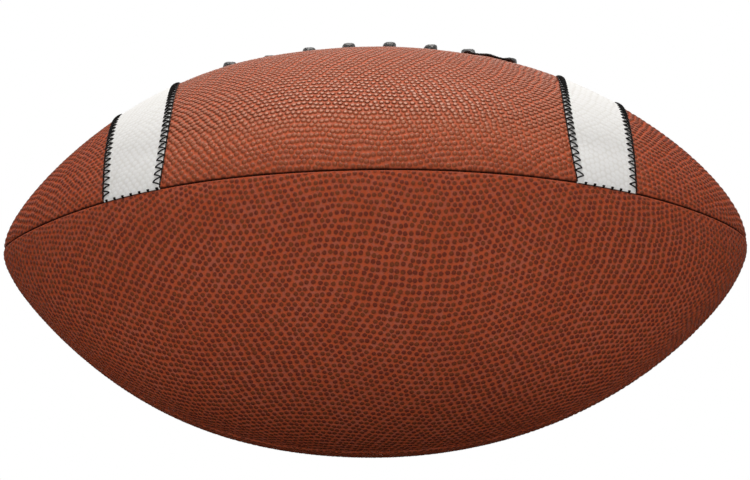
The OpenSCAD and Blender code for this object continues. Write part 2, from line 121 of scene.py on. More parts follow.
class FootballSizes(bpy.types.PropertyGroup):
    """The football's sizes"""
    ball_length: length("Ball length", "From tip to tip", 266.7, 255, 285)
    ball_width: length("Ball width", "Mean width across the middle", 146.5, 138, 156)
    pebble_pitch: length("Pebble pitch", "From pebble to pebble of the grain", 2.25, 1.6, 3)
    pebble_height: length("Pebble height", "From the valleys to the tops of the pebbles", 0.25, 0.1, 0.6)
    stripe_width: length("Stripe width", "Along the ball", 20.7, 18, 22)
    thread_diameter: length("Zigzag thread", "Diameter of the zigzag thread", 0.5, 0.4, 0.8)
    seam_thread: length("Seam thread", "Diameter of the seam thread", 0.5, 0.4, 0.8)
    zigzag_pitch: length("Zigzag pitch", "From tooth to tooth", 2.8, 2.4, 3.4)
    zigzag_reach: length("Zigzag reach", "From the stripe's edge into the stripe", 2.5, 2, 3)
    lace_width: length("Lace width", "Of the flat lace", 4.9, 4.5, 5.1)
    lace_thickness: length("Lace thickness", "Of the flat lace", 2.4, 2, 2.5)


class FootballColours(bpy.types.PropertyGroup):
    """The football's colours, each the main one of its material"""
    leather: colour("Leather", "Valleys of the tanned leather", "#c05838")
    leather_tops: colour("Leather tops", "Pebble tops, rubbed dark", "#80432a")
    stripe: colour("Stripe", "White coated leather", "#fdfdfc")
    thread: colour("Thread", "Bonded polyester thread", "#0c0a0a")
    lace: colour("Lace", "Black coated lace", "#2a2827")
    cloth: colour("Lining", "Woven cotton ply", "#c9b99a")
    rubber: colour("Rubber", "Bladder and valve", "#1a1a1a")


# The ball's form, in mm

class Ball:
    """The smooth form that everything lies on. Station angle t runs from -90 to 90 degrees and x = half
    length times sin t. The radius is the middle radius times cos t, times the root of a cubic in sin^2 t that
    sets the taper, one cubic for each half, since the left tip is the more pointed. A cosine of four times
    the angle round the ball lifts the seams at the middle and the panels at the tips. Angle a runs from the
    lace seam to the front."""

    # A taper is its cubic's first two factors, for the belly and the shoulder, and the tip's radius.
    tip_radius = 19.6
    left_taper, right_taper = (0.143, 0.562, 14.4), (0.307, 0.1, tip_radius)
    ridge, lobe = 0.03, 0.042
    shift = -2.1
    seam_gap, groove_depth, groove_width = 0.1, 1.2, 2.2
    # Where an edge isn't rolled in far, its lip is this share of a full one, in width and in depth.
    tight = 0.35
    leather, glue, lining, facing, flange = 2.0, 0.05, 1.0, 1.0, 3.7
    slit, slit_opening = 56.0, 1.6
    stripe_from_tip, stripe_proud, bed_depth = 53.85, 0.3, 0.8
    # By stripe, and by edge on the tip's side or the other, in mm: how far an edge lies out at the panel's
    # middle, how far it draws in at the seams, and how far it leans out towards the seam away from the lace
    stripe_bow = {(-1, 1): (0.55, 0.5, 0.0), (-1, -1): (1.5, 2.5, 0.0),
                  (1, 1): (0.75, 0.2, -0.7), (1, -1): (1.8, 3.3, 2.2)}
    hole_offset, hole_radius, nose_radius = 16.5, 2.2, 3.5
    lace_play, lace_gathered = 0.45, 2.6
    # The pull of the lace: its depth, its middle and its reach along the ball, and its reach round it in
    # radians
    pull_depth, pull_middle, pull_along, pull_round = 1.0, 2, 44, 0.6
    # How far along and across the hide the panels are cut, in mm for each radian round the ball
    cut_along, cut_across = 97, 61

    def __init__(self, sizes):
        self.half = sizes.ball_length / MM / 2
        self.mid = sizes.ball_width / MM / 2
        fine = np.linspace(-QUARTER, QUARTER, 8001)
        arc = np.hypot(np.diff(self.half * np.sin(fine)), np.diff(self.radius(fine)))
        self.fine, self.arcs = fine, np.concatenate([[0], np.cumsum(arc)])
        self.arcs -= self.arcs[-1] / 2
        self.slopes = np.gradient(self.radius(fine), self.arcs)
        self.stripe_width = sizes.stripe_width / MM

    def radius(self, t):
        """Mean radius at a station: mid cos t times the root of 1 - belly w - shoulder w^2 - end w^3, where w
        is sin^2 t and end is what gives the tip its radius."""
        w, tapers = np.sin(t) ** 2, []
        for belly, shoulder, tip in (self.left_taper, self.right_taper):
            end = 1 - belly - shoulder - tip * self.half / self.mid ** 2
            tapers.append(1 - belly * w - shoulder * w ** 2 - end * w ** 3)
        return self.mid * np.cos(t) * np.sqrt(np.maximum(np.where(t < 0, *tapers), 0))

    def station(self, x):
        """The station angle at a place along X, the arc sine of its share of the half length."""
        return np.arcsin(np.clip(np.asarray(x, float) / self.half, -1, 1))

    def arc(self, t):
        """Distance from the middle along the profile."""
        return np.interp(t, self.fine, self.arcs)

    def at_arc(self, s):
        """The station angle at a distance from the middle along the profile."""
        return np.interp(s, self.arcs, self.fine)

    def swell(self, t, a):
        """The radius round the ball as a share of the mean radius: 1 plus a share of cos 4a that falls from
        the ridge at the middle to minus the lobe at the tips with the fourth power of sin t."""
        relief = self.ridge - (self.ridge + self.lobe) * np.sin(t) ** 4
        return 1 + relief * np.cos(4 * a)

    def normal_shares(self, t):
        """The outward normal of the profile, as its shares along X and away from the axis."""
        step = 2e-4
        before, after = np.maximum(t - step, -QUARTER), np.minimum(t + step, QUARTER)
        rise = self.radius(after) - self.radius(before)
        run = self.half * (np.sin(after) - np.sin(before))
        size = np.hypot(rise, run)
        return -rise / size, run / size

    def drawn_in(self, t, a):
        """How far the pull of the lace draws the skin in. It is most under the lace and dies away as e to
        minus the fourth power of the distance, both along the ball and round it."""
        along = (self.half * np.sin(t) - self.pull_middle) / self.pull_along
        around = np.angle(np.exp(1j * a)) / self.pull_round
        return self.pull_depth * np.exp(-along ** 4 - around ** 4)

    def skin(self, t, a, depth):
        """The point at station t and angle a, moved inwards along the normal by depth."""
        t, a, depth = np.broadcast_arrays(t, a, depth)
        along, outward = self.normal_shares(t)
        depth = depth + self.drawn_in(t, a)
        r = self.radius(t) * self.swell(t, a) - depth * outward
        return np.stack([self.half * np.sin(t) - depth * along, -r * np.sin(a), r * np.cos(a)], -1)

    def normal(self, t, a):
        """The outward normal of the mean form."""
        t, a = np.broadcast_arrays(t, a)
        along, outward = self.normal_shares(t)
        return np.stack([along, -outward * np.sin(a), outward * np.cos(a)], -1)

    def flat(self, t, a, middle):
        """Where a point of a panel lies once the panel is unrolled: W is the way round from the panel's
        middle line, and U the arc along it less half of r r' phi^2, which keeps the two square to each other.
        Each panel is cut from its own place on the hide."""
        t, a = np.broadcast_arrays(t, a)
        r, slope, phi = self.radius(t), np.interp(t, self.fine, self.slopes), a - middle
        along = self.arc(t) - 0.5 * r * slope * phi ** 2
        return along + self.cut_along * middle, r * phi + self.cut_across * middle

    def stripe_edge(self, side, way, share):
        """Place along X of the edge of a stripe that looks to +X for way 1 and to -X for way -1. Share runs
        from 0 at the lace to 1 at the panel's other seam. The panel is stretched most at its middle, so an
        edge bows outwards there: it draws in with the cube of the distance from the middle, and a third as
        much at the lace, where the two panels lie flat."""
        wide, fall, lean = self.stripe_bow[side, side * way]
        drawn = fall * np.where(share > 0.5, 1.0, 0.33) * np.abs(2 * share - 1) ** 3
        out = wide - drawn + lean * (share - 0.5)
        return side * (self.half - self.stripe_from_tip) + self.shift + way * (self.stripe_width / 2 + out)

    def on_stripe(self, x, share):
        """Distance in mm from x out of the nearer stripe, less than 0 on it."""
        away = []
        for side in (-1, 1):
            low, high = self.stripe_edge(side, -1, share), self.stripe_edge(side, 1, share)
            away.append(np.abs(x - (low + high) / 2) - (high - low) / 2)
        return np.minimum(*away)

    def lip(self, reach, share=1):
        """Depth of the rolled edge beside a seam: a quarter of an ellipse, full depth at the edge. A share
        below 1 makes it tighter and less deep."""
        q = np.clip(reach / (self.groove_width * share), 0, 1)
        return self.groove_depth * share * (1 - np.sqrt(1 - (1 - q) ** 2))


def from_lace(low, a):
    """Share of the way round an upper panel, from 0 at the lace to 1 at its other seam. The front panel
    starts at angle 0, at the lace, and the back one ends there."""
    share = (a - low) / QUARTER
    return share if low == 0 else 1 - share


# The lace's crosses: their places along X, the height of each over the leather in mm, because some are pulled
# down flat, and how far each leans along X at its front hole
CROSS_PITCH = 14.65
CROSS_X = Ball.shift + (np.arange(8) - 3.5) * CROSS_PITCH
CROSS_TOPS = (1.8, 0.95, 2.0, 2.5, 2.65, 2.65, 3.3, 2.6)
CROSS_LEAN = (1.6, 1.3, 0.85, 0.65, 0.9, 1.3, 0.0, 0.6)

# The waves that bend a grain's rows: turns per mm along U and W and a phase, then how far a wave shifts the
# pattern in mm. The first three are slow and curve the rows, the rest crowd and spread the pebbles in places.
GRAIN_WAVES = (
    ((0.000, 0.075, 0.4), (2.9, 0.0)), ((0.071, 0.008, 1.3), (0.3, -2.9)),
    ((0.045, -0.055, 2.1), (1.8, 1.5)), ((0.43, 0.19, 0.0), (0.10, -0.15)),
    ((-0.17, 0.45, 1.9), (0.16, 0.10)), ((0.36, -0.37, 3.7), (0.12, 0.12)),
)
# A hexagonal lattice is two lattices of upright cells, one shifted by half a cell both ways. These turn the
# place of a cell into the phases of two sines, which move its pebble off the cell's middle by shares of the
# pitch.
CELL_MIX = ((1.9, 1.9, 0.7), (-1.2, 3.1, 2.6))
CELL_STRAY = 0.1
CELL_ASPECT = math.sqrt(3)


def pebbles(u, w, pitch):
    """Distance from flat place u, w to the nearest pebble's middle, in shares of the pitch. The place is
    shifted by the sines of GRAIN_WAVES, put in its cell of each of the two lattices, and measured from the
    cell's middle, which two sines of the cell's place move. Each wave's own stretch, its cosine times its
    turns along the measured way, is taken off again, so that the pebbles stay round. pebble_nodes draws the
    same grain."""
    sines = [(np.sin(a * u + b * w + phase), shift) for (a, b, phase), shift in GRAIN_WAVES]
    slopes = [(np.cos(a * u + b * w + phase), a, b, shift) for (a, b, phase), shift in GRAIN_WAVES]
    bent_u = (u + sum(wave * shift[0] for wave, shift in sines)) / pitch
    bent_w = (w + sum(wave * shift[1] for wave, shift in sines)) / pitch / CELL_ASPECT
    nearest = None
    for half in (0, 0.5):
        i, j = np.floor(bent_u + half), np.floor(bent_w + half)
        stray = [CELL_STRAY * np.sin(a * (i - half) + b * (j - half) + phase) for a, b, phase in CELL_MIX]
        off_u = bent_u + half - i - 0.5 - stray[0]
        off_w = (bent_w + half - j - 0.5) * CELL_ASPECT - stray[1]
        stretch = [(wave * (a * off_u + b * off_w), shift) for wave, a, b, shift in slopes]
        away = np.hypot(off_u - sum(much * shift[0] for much, shift in stretch),
                        off_w - sum(much * shift[1] for much, shift in stretch))
        nearest = away if nearest is None else np.minimum(nearest, away)
    return nearest


def dome(away):
    """Height 0 to 1 of a pebble at a distance from its middle in shares of the pitch: a flat top and a round
    flank that ends in a narrow valley."""
    flat_top, flank = 0.12, 0.38
    return 1 - smooth((away - flat_top) / flank)


# Meshes from grids of points

def new_mesh(name, points, faces, material, values=None, flat=None):
    """A mesh object in metres from points in mm, with smooth faces and point attributes. The attribute flat
    is the place in mm on the unrolled piece, and 1 as its third value, which a wave's phase rides on."""
    mesh = bpy.data.meshes.new(name)
    mesh.from_pydata(points.reshape(-1, 3) * MM, [], [face for group in faces for face in group.tolist()])
    mesh.polygons.foreach_set("use_smooth", np.ones(len(mesh.polygons), bool))
    for key, value in (values or {}).items():
        attribute = mesh.attributes.new(key, "FLOAT", "POINT")
        attribute.data.foreach_set("value", value.ravel().astype(np.float32))
    if flat is not None:
        attribute = mesh.attributes.new("flat", "FLOAT_VECTOR", "POINT")
        place = np.concatenate([flat.reshape(-1, 2), np.ones((flat.size // 2, 1))], 1)
        attribute.data.foreach_set("vector", place.ravel().astype(np.float32))
    mesh.materials.append(material)
    mesh.update()
    piece = bpy.data.objects.new(name, mesh)
    bpy.context.scene.collection.objects.link(piece)
    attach(piece, "root")
    return piece


def ring_faces(rows, sides):
    """Quads of a tube of rings, and a cap on each end, which face outwards when the rings turn left about the
    way ahead."""
    i, j = np.meshgrid(np.arange(rows - 1), np.arange(sides), indexing="ij")
    a, b = i * sides + j, i * sides + (j + 1) % sides
    quads = np.stack([a, b, b + sides, a + sides], -1).reshape(-1, 4)
    return quads, np.stack([np.arange(sides)[::-1], (rows - 1) * sides + np.arange(sides)])


def slab_faces(rows, cols):
    """Faces of a closed slab between a top grid and an under grid of the same size."""
    i, j = np.meshgrid(np.arange(rows - 1), np.arange(cols - 1), indexing="ij")
    p, n = (i * cols + j).ravel(), rows * cols
    top = np.stack([p, p + cols, p + cols + 1, p + 1], -1)
    edge = np.concatenate([np.arange(cols - 1), (np.arange(rows - 1) + 1) * cols - 1,
                           rows * cols - 1 - np.arange(cols - 1), (rows - 1 - np.arange(rows - 1)) * cols])
    after = np.roll(edge, -1)
    rim = np.stack([edge, after, after + n, edge + n], -1)
    return [np.concatenate([top, top[:, ::-1] + n, rim])]


# The cover

def panel_face(ball, name, sizes, t, a, from_first, from_last):
    """How deep the pebbled face of a panel lies under the skin, its point attributes, and its place on the
    unrolled panel. The depth is the rolled lips at the seams, the beds of the stripes and the pits and dents
    of holes, less the pebbles, which fade out at all of them."""
    low, x, s = PANELS[name] * QUARTER, ball.half * np.sin(t), ball.arc(t)
    middle = low + QUARTER / 2
    round_ball = ball.radius(t) * ball.swell(t, a)
    reach = np.minimum(from_first, from_last)
    # At the front and back seams the upper panel rolls in deep and the lower one's edge stands up under it.
    under = {"lower_front": from_first, "lower_back": from_last}.get(name)
    over = {"upper_front": from_last, "upper_back": from_first}.get(name)
    depth, near_seam, pit = ball.lip(reach), 9, 1.7
    if under is not None:
        depth = np.where(under < near_seam, ball.lip(under, ball.tight), depth)
    u, w = ball.flat(t, a, middle)
    grain = dome(pebbles(u, w, sizes.pebble_pitch / MM))
    fade = smooth((reach - 0.05) / 0.7)
    painted_shade, wax_and_painted_sheen = np.zeros_like(a), np.full_like(a, WAX_AND_SHEEN_LEAST)
    if over is not None:
        share = from_lace(low, a)
        # Wax and painted sheen: most at the panel's middle, least at the tips, less in the strip by the lower
        # seam.
        duller = np.maximum(smooth((np.abs(x) - 60) / 45), 0.6 * smooth((share - 0.78) / 0.22))
        wax_and_painted_sheen = WAX_AND_SHEEN_MOST - (WAX_AND_SHEEN_MOST - WAX_AND_SHEEN_LEAST) * duller
        bed = within(ball.on_stripe(x, share), 0.1, 0.5)
        depth = depth + ball.bed_depth * bed
        fade = fade * (1 - bed)
        # The lace's holes, each with a rounded mouth in a wide shallow dent
        dent_depth, dent_reach = 0.25, 4
        for hole_t in ball.station(CROSS_X):
            hole_a = np.arcsin(ball.hole_offset / (ball.radius(hole_t) * ball.swell(hole_t, 0)))
            hole_a = hole_a if low == 0 else 2 * math.pi - hole_a
            away = np.hypot(s - ball.arc(hole_t), (a - hole_a) * round_ball)
            depth = depth + pit * within(away, ball.hole_radius + 0.25, 0.6)
            depth = depth + dent_depth * np.exp(-(away / dent_reach) ** 2)
            # Painted shade darkens the inside of each hole.
            painted_shade = np.maximum(painted_shade, within(away, ball.hole_radius + 0.1, 0.5))
            fade = fade * (1 - painted_shade)
    if name == "upper_front":
        # The outer run of the lace draws the leather up between the last two holes.
        up_x, up_w, up_height, reach_along, reach_round = CROSS_X[6] + 7.3, 17, 0.45, 4.5, 5
        along, around = s - ball.arc(ball.station(up_x)), a * round_ball - up_w
        depth = depth - up_height * np.exp(-np.hypot(along / reach_along, around / reach_round) ** 2)
    if name == "lower_back":
        away = np.hypot(s, (a - middle) * round_ball)
        depth = depth + pit * within(away, ball.nose_radius + 0.25, 0.5)
        # Painted shade darkens the valve's pit.
        painted_shade = within(away, ball.nose_radius + 0.1, 0.4)
        fade = fade * (1 - within(away, ball.nose_radius + 1.1, 0.8))
    depth = depth - fade * (grain - 0.5) * sizes.pebble_height / MM
    # Painted shade: the edges are painted dark where they roll under, the upper panel's lip at the front and
    # back seams over a wider band.
    painted_shade = np.maximum(painted_shade, within(reach, 0.3, 0.2) if under is None else within(reach, 0.08, 0.06))
    if over is not None:
        painted_shade = np.maximum(painted_shade, within(over, 1.0, 0.6))
    return depth, {"pebbled": fade, "painted_shade": painted_shade, "wax_and_painted_sheen": wax_and_painted_sheen}, (u, w)


def panel_rings(ball, name, sizes):
    """One cover panel as rings round its own section, from tip to tip: the pebbled face from seam to seam,
    down the turned-in edge, back along the flesh side, and up the other edge. A ring is a row of angles round
    the ball, closer together in the lips, and the depth of each. At the slit the edge isn't turned in."""
    low, ends = PANELS[name] * QUARTER, ("first", "last")
    rows, across, in_lip, on_flesh = 456, 178, 7, 9
    # The tip is left open by a pinhole. Near it, a lip and a gap take these shares of the panel's width.
    pinhole, widest_lip, widest_gap = 0.42, 0.16, 0.1
    t = ball.at_arc(np.linspace(pinhole - ball.arcs[-1], ball.arcs[-1] - pinhole, rows))[:, None]
    x = ball.half * np.sin(t)
    gaps, sewn = {e: np.full_like(x, ball.seam_gap / 2) for e in ends}, {e: np.ones_like(x) for e in ends}
    if name in LACED_EDGE:
        open_share = np.clip(1 - ((x - ball.shift) / ball.slit) ** 2, 0, 1)
        gaps[LACED_EDGE[name]] = ball.seam_gap / 2 + ball.slit_opening * open_share
        sewn[LACED_EDGE[name]] = smooth((np.abs(x - ball.shift) - ball.slit) / 1.5)
    radius = {e: ball.radius(t) * ball.swell(t, low + turn) for e, turn in zip(ends, (0, QUARTER))}

    def inset(edge, distance, share):
        """The angle to a distance in from an edge's gap, up to a share of the panel."""
        return np.minimum((gaps[edge] + distance) / radius[edge], share * QUARTER)

    start, stop = inset("first", 0, widest_gap), inset("last", 0, widest_gap)
    lips = [np.minimum(ball.groove_width / radius[e], widest_lip * QUARTER) for e in ends]
    ease = (np.arange(in_lip) / in_lip) ** 1.7
    inner = np.linspace(0, 1, across - 2 * in_lip)
    span_low, span_high = start + lips[0], QUARTER - stop - lips[1]
    a = low + np.concatenate([start + lips[0] * ease, span_low + (span_high - span_low) * inner,
                              QUARTER - stop - lips[1] * ease[::-1]], 1)
    round_ball = ball.radius(t) * ball.swell(t, a)
    from_first, from_last = (a - low - start) * round_ball, (low + QUARTER - stop - a) * round_ball
    depth, values, (u, w) = panel_face(ball, name, sizes, t, a, from_first, from_last)

    foot = {e: ball.leather + ball.flange * sewn[e] for e in ends}
    knee = {e: (ball.groove_depth + foot[e]) / 2 for e in ends}
    flesh_low, flesh_high = inset("first", 2.4, 0.3), QUARTER - inset("last", 2.4, 0.3)
    flesh = flesh_high + (flesh_low - flesh_high) * np.linspace(0, 1, on_flesh)
    turned = [
        (QUARTER - stop, knee["last"]), (QUARTER - stop, foot["last"]),
        (QUARTER - inset("last", ball.leather, 0.24), foot["last"]),
        (flesh, np.full_like(flesh, ball.leather)),
        (inset("first", ball.leather, 0.24), foot["first"]), (start, foot["first"]), (start, knee["first"]),
    ]
    hidden_a = low + np.concatenate([turn for turn, _ in turned], 1)
    hidden_depth = np.concatenate([far for _, far in turned], 1)
    rings = np.concatenate([ball.skin(t, a, depth), ball.skin(t, hidden_a, hidden_depth)], 1)
    hidden_u, hidden_w = ball.flat(t, hidden_a, low + QUARTER / 2)
    # The hidden turned-in edges and flesh side are painted fully dark, as painted shade.
    for key, hidden in (("pebbled", 0.0), ("painted_shade", 1.0), ("wax_and_painted_sheen", WAX_AND_SHEEN_LEAST)):
        values[key] = np.concatenate([values[key], np.full_like(hidden_a, hidden)], 1)
    return rings, values, np.stack([np.concatenate([u, hidden_u], 1), np.concatenate([w, hidden_w], 1)], -1)


# Materials

def add_node(tree, kind, settings=None, output=0):
    """Adds a shader node of a kind to the tree and returns one of its outputs. The settings name its
    properties or its input sockets, and a setting that is another node's output is linked to its socket."""
    node = tree.nodes.new("ShaderNode" + kind)
    for key, value in (settings or {}).items():
        if isinstance(value, bpy.types.NodeSocket):
            tree.links.new(value, node.inputs[key])
        elif isinstance(key, int) or key in node.inputs:
            node.inputs[key].default_value = value
        else:
            setattr(node, key, value)
    return node.outputs[output] if node.outputs else None


def new_material(name):
    """An empty node material, its tree, and the place on the piece in metres."""
    material = bpy.data.materials.new(name)
    material.use_nodes = True
    tree = material.node_tree
    tree.nodes.clear()
    return material, tree, add_node(tree, "TexCoord", None, "Object")


def coloured(tree, base, layers):
    """Lays colours over a base, one after the other. Each layer is a mask, its values where the layer starts
    and where it is fullest, the layer's share there, and its colour, as hex or as another node's output."""
    for mask, low, high, share, tint in layers:
        seen = add_node(tree, "MapRange", {0: mask, 1: low, 2: high, 3: 0.0, 4: share})
        tint = hex_linear(tint) if isinstance(tint, str) else tint
        base = add_node(tree, "Mix", {"data_type": "RGBA", 0: seen, 6: base, 7: tint}, 2)
    return base


def surfaced(material, settings):
    """Ends a material in a principled surface with these settings."""
    surface = add_node(material.node_tree, "BsdfPrincipled", settings)
    add_node(material.node_tree, "OutputMaterial", {"Surface": surface})
    return material


def pebble_nodes(tree, pitch):
    """The distance of pebbles() as nodes, from the piece's own flat attribute."""
    flat = add_node(tree, "Attribute", {"attribute_name": "flat"}, "Vector")
    place, slopes = flat, []
    for wave, shift in GRAIN_WAVES:
        along = add_node(tree, "VectorMath", {"operation": "DOT_PRODUCT", 0: flat, 1: wave}, "Value")
        sine = add_node(tree, "Math", {"operation": "SINE", 0: along})
        slopes.append(add_node(tree, "Math", {"operation": "COSINE", 0: along}))
        place = add_node(tree, "VectorMath", {
            "operation": "MULTIPLY_ADD", 0: sine, 1: (*shift, 0), 2: place})
    nearest = None
    for half in (0, 0.5):
        # The third value's floor is 1, and the phases of CELL_MIX ride on it.
        cells = add_node(tree, "VectorMath", {
            "operation": "MULTIPLY_ADD", 0: place, 1: (1 / pitch, 1 / pitch / CELL_ASPECT, 0),
            2: (half, half, 1.5)})
        number = add_node(tree, "VectorMath", {"operation": "FLOOR", 0: cells})
        number = add_node(tree, "VectorMath", {"operation": "SUBTRACT", 0: number, 1: (half, half, 0)})
        turns = [add_node(tree, "VectorMath", {"operation": "DOT_PRODUCT", 0: number, 1: mix}, "Value")
                 for mix in CELL_MIX]
        turned = add_node(tree, "CombineXYZ", {0: turns[0], 1: turns[1]})
        stray = add_node(tree, "VectorMath", {"operation": "SINE", 0: turned})
        inside = add_node(tree, "VectorMath", {"operation": "FRACTION", 0: cells})
        centred = add_node(tree, "VectorMath", {
            "operation": "MULTIPLY_ADD", 0: inside, 1: (1, CELL_ASPECT, 0), 2: (-0.5, -0.5 * CELL_ASPECT, 0)})
        moved = add_node(tree, "VectorMath", {
            "operation": "MULTIPLY_ADD", 0: stray, 1: (-CELL_STRAY, -CELL_STRAY, 0), 2: centred})
        true = moved
        for (wave, shift), slope in zip(GRAIN_WAVES, slopes):
            ahead = add_node(tree, "VectorMath", {
                "operation": "DOT_PRODUCT", 0: moved, 1: (*wave[:2], 0)}, "Value")
            much = add_node(tree, "Math", {"operation": "MULTIPLY", 0: slope, 1: ahead})
            true = add_node(tree, "VectorMath", {
                "operation": "MULTIPLY_ADD", 0: much, 1: (-shift[0], -shift[1], 0), 2: true})
        away = add_node(tree, "VectorMath", {"operation": "LENGTH", 0: true}, "Value")
        if nearest is not None:
            away = add_node(tree, "Math", {"operation": "MINIMUM", 0: nearest, 1: away})
        nearest = away
    return nearest


def pebbled_leather(colours, pitch):
    """Chrome-tanned cowhide, pressed with a pebble plate and rubbed: each pebble has a round dark brown top,
    the valleys keep the orange-red dye with rosy patches, and a thin amber finish gives a warm sheen."""
    material, tree, place = new_material("leather_pebbled_cowhide")
    shown, painted_shade, wax_and_painted_sheen = (add_node(tree, "Attribute", {"attribute_name": name}, "Fac")
                            for name in ("pebbled", "painted_shade", "wax_and_painted_sheen"))
    away = pebble_nodes(tree, pitch)
    # Noises by the size of their grain in mm and their detail: the wavering rims of the rubbed tops, rosy
    # spots the size of a pebble, wide clouds of darker dye, the lean of the tops' brown, and fine pores
    waver, spots, clouds, lean, pores = (
        add_node(tree, "TexNoise", {"Vector": place, "Scale": 1 / (grain * MM), "Detail": detail})
        for grain, detail in ((0.9, 1.0), (1.5, 1.0), (18, 2.0), (2.6, 1.0), (0.4, 2.0)))
    # Upper panels: more wax, and a painted sheen that paints their tops wider and paler and their valleys
    # paler.
    rim = add_node(tree, "Math", {"operation": "MULTIPLY_ADD", 0: waver, 1: 0.16, 2: away})
    rim = add_node(tree, "Math", {"operation": "MULTIPLY_ADD", 0: wax_and_painted_sheen, 1: -0.14, 2: rim})
    top = add_node(tree, "MapRange", {
        "interpolation_type": "SMOOTHSTEP", 0: rim, 1: 0.31, 2: 0.42, 3: 1.0, 4: 0.0})
    top = add_node(tree, "Math", {"operation": "MULTIPLY", 0: top, 1: shown})
    valley = coloured(tree, colours.leather, (
        (spots, 0.45, 0.62, 0.7, "#b4624f"), (clouds, 0.4, 0.7, 0.4, "#b04c2c"),
        (wax_and_painted_sheen, WAX_AND_SHEEN_LEAST, WAX_AND_SHEEN_MOST, 0.3, "#e67c56")))
    # The brown of the tops leans to purple from pebble to pebble; the painted sheen pales it.
    crown = coloured(tree, colours.leather_tops, (
        (lean, 0.4, 0.6, 0.8, "#75342a"), (wax_and_painted_sheen, WAX_AND_SHEEN_LEAST, WAX_AND_SHEEN_MOST, 0.72, "#bd6644")))
    # Painted shade: the rolled edges at the seams, the turned-in edges and the insides of the holes and the
    # valve's pit are painted nearly black.
    skin = coloured(tree, valley, (
        (top, 0.0, 1.0, 1.0, crown), (pores, 0.55, 0.75, 0.35, "#5c2415"),
        (painted_shade, 0.0, 1.0, 1.0, "#2a100a")))
    rough = add_node(tree, "MapRange", {0: top, 3: 0.6, 4: 0.36})
    duller = add_node(tree, "MapRange", {0: wax_and_painted_sheen, 1: WAX_AND_SHEEN_LEAST, 2: WAX_AND_SHEEN_MOST, 3: 0.26, 4: 0.0})
    rough = add_node(tree, "Math", {"operation": "ADD", 0: rough, 1: duller})
    gloss = add_node(tree, "MapRange", {0: top, 3: 0.4, 4: 1.0})
    sheen = add_node(tree, "Math", {"operation": "MULTIPLY_ADD", 0: wax_and_painted_sheen, 1: 0.5, 2: 0.03})
    gloss = add_node(tree, "Math", {"operation": "MULTIPLY", 0: gloss, 1: sheen})
    # The lower panels, which were stretched more, keep a flatter relief.
    round_top = add_node(tree, "Math", {"operation": "MULTIPLY_ADD", 0: wax_and_painted_sheen, 1: -0.09, 2: away})
    height = add_node(tree, "MapRange", {
        "interpolation_type": "SMOOTHSTEP", 0: round_top, 1: 0.12, 2: 0.5, 3: 1.0, 4: 0.0})
    height = add_node(tree, "Math", {"operation": "MULTIPLY", 0: height, 1: shown})
    fuller = add_node(tree, "Math", {"operation": "MULTIPLY_ADD", 0: wax_and_painted_sheen, 1: 1.8, 2: 0.25})
    height = add_node(tree, "Math", {"operation": "MULTIPLY", 0: height, 1: fuller})
    fine = add_node(tree, "Bump", {"Height": pores, "Distance": 0.05 * MM, "Strength": 0.6})
    relief = add_node(tree, "Bump", {"Height": height, "Distance": 0.4 * MM, "Normal": fine})
    return surfaced(material, {
        "Base Color": skin, "Roughness": rough, "Normal": relief, "IOR": 1.45, "Specular IOR Level": gloss,
        "Specular Tint": hex_linear("#ffdfc2")})


def coated_leather(colours, pitch):
    """Leather under a thick white polyurethane coat: matt, its grain softened by the coat, with a trace of
    grey in the valleys and a little wear."""
    material, tree, place = new_material("leather_white_coated")
    painted_shade = add_node(tree, "Attribute", {"attribute_name": "painted_shade"}, "Fac")
    away = pebble_nodes(tree, pitch)
    valley = add_node(tree, "MapRange", {"interpolation_type": "SMOOTHSTEP", 0: away, 1: 0.28, 2: 0.58})
    wear = add_node(tree, "TexNoise", {"Vector": place, "Scale": 1 / (9 * MM), "Detail": 2.0})
    # The stripe's ends at the seams are painted dark grey, a painted shade.
    coat = coloured(tree, colours.stripe, (
        (valley, 0.0, 1.0, 1.0, "#f2f1ee"), (wear, 0.5, 0.8, 0.25, "#ecebe6"),
        (painted_shade, 0.0, 1.0, 1.0, "#6e655f")))
    fine = add_node(tree, "TexNoise", {"Vector": place, "Scale": 1 / (0.5 * MM), "Detail": 2.0})
    relief = add_node(tree, "Bump", {"Height": fine, "Distance": 0.04 * MM, "Strength": 0.5})
    return surfaced(material, {
        "Base Color": coat, "Normal": relief, "Roughness": 0.65, "IOR": 1.45, "Specular IOR Level": 0.12})


def twisted_thread(colours):
    """Bonded polyester thread, three strands laid together: black, with a dull grey sheen on its strands."""
    material, tree, place = new_material("thread_bonded_polyester")
    strands = add_node(tree, "TexNoise", {"Vector": place, "Scale": 1 / (0.3 * MM), "Detail": 2.0})
    base = coloured(tree, colours.thread, ((strands, 0.35, 0.7, 1.0, "#181514"),))
    relief = add_node(tree, "Bump", {"Height": strands, "Distance": 0.08 * MM, "Strength": 0.7})
    return surfaced(material, {
        "Base Color": base, "Normal": relief, "Roughness": 0.8, "IOR": 1.5, "Specular IOR Level": 0.06,
        "Sheen Weight": 0.16, "Sheen Roughness": 0.4})


def coated_lace(colours):
    """Split-leather lace with a pressed black coat: its fine pebbles catch small grey lights and painted
    highlights.
    """
    material, tree, place = new_material("lace_black_coated_leather")
    cells = add_node(tree, "TexVoronoi", {
        "feature": "F1", "Vector": place, "Scale": 1 / (1.1 * MM)}, "Distance")
    tops = add_node(tree, "MapRange", {
        "interpolation_type": "SMOOTHSTEP", 0: cells, 1: 0.1, 2: 0.75, 3: 1.0, 4: 0.0})
    # Painted highlight: the pebble tops are painted grey, the valleys near black.
    base = coloured(tree, hex_linear("#121110"), ((tops, 0.0, 1.0, 1.0, colours.lace),))
    fibres = add_node(tree, "TexNoise", {"Vector": place, "Scale": 1 / (0.3 * MM), "Detail": 2.0})
    fine = add_node(tree, "Bump", {"Height": fibres, "Distance": 0.03 * MM, "Strength": 0.5})
    relief = add_node(tree, "Bump", {"Height": tops, "Distance": 0.15 * MM, "Normal": fine})
    return surfaced(material, {
        "Base Color": base, "Normal": relief, "Roughness": 0.42, "IOR": 1.45, "Specular IOR Level": 0.6})


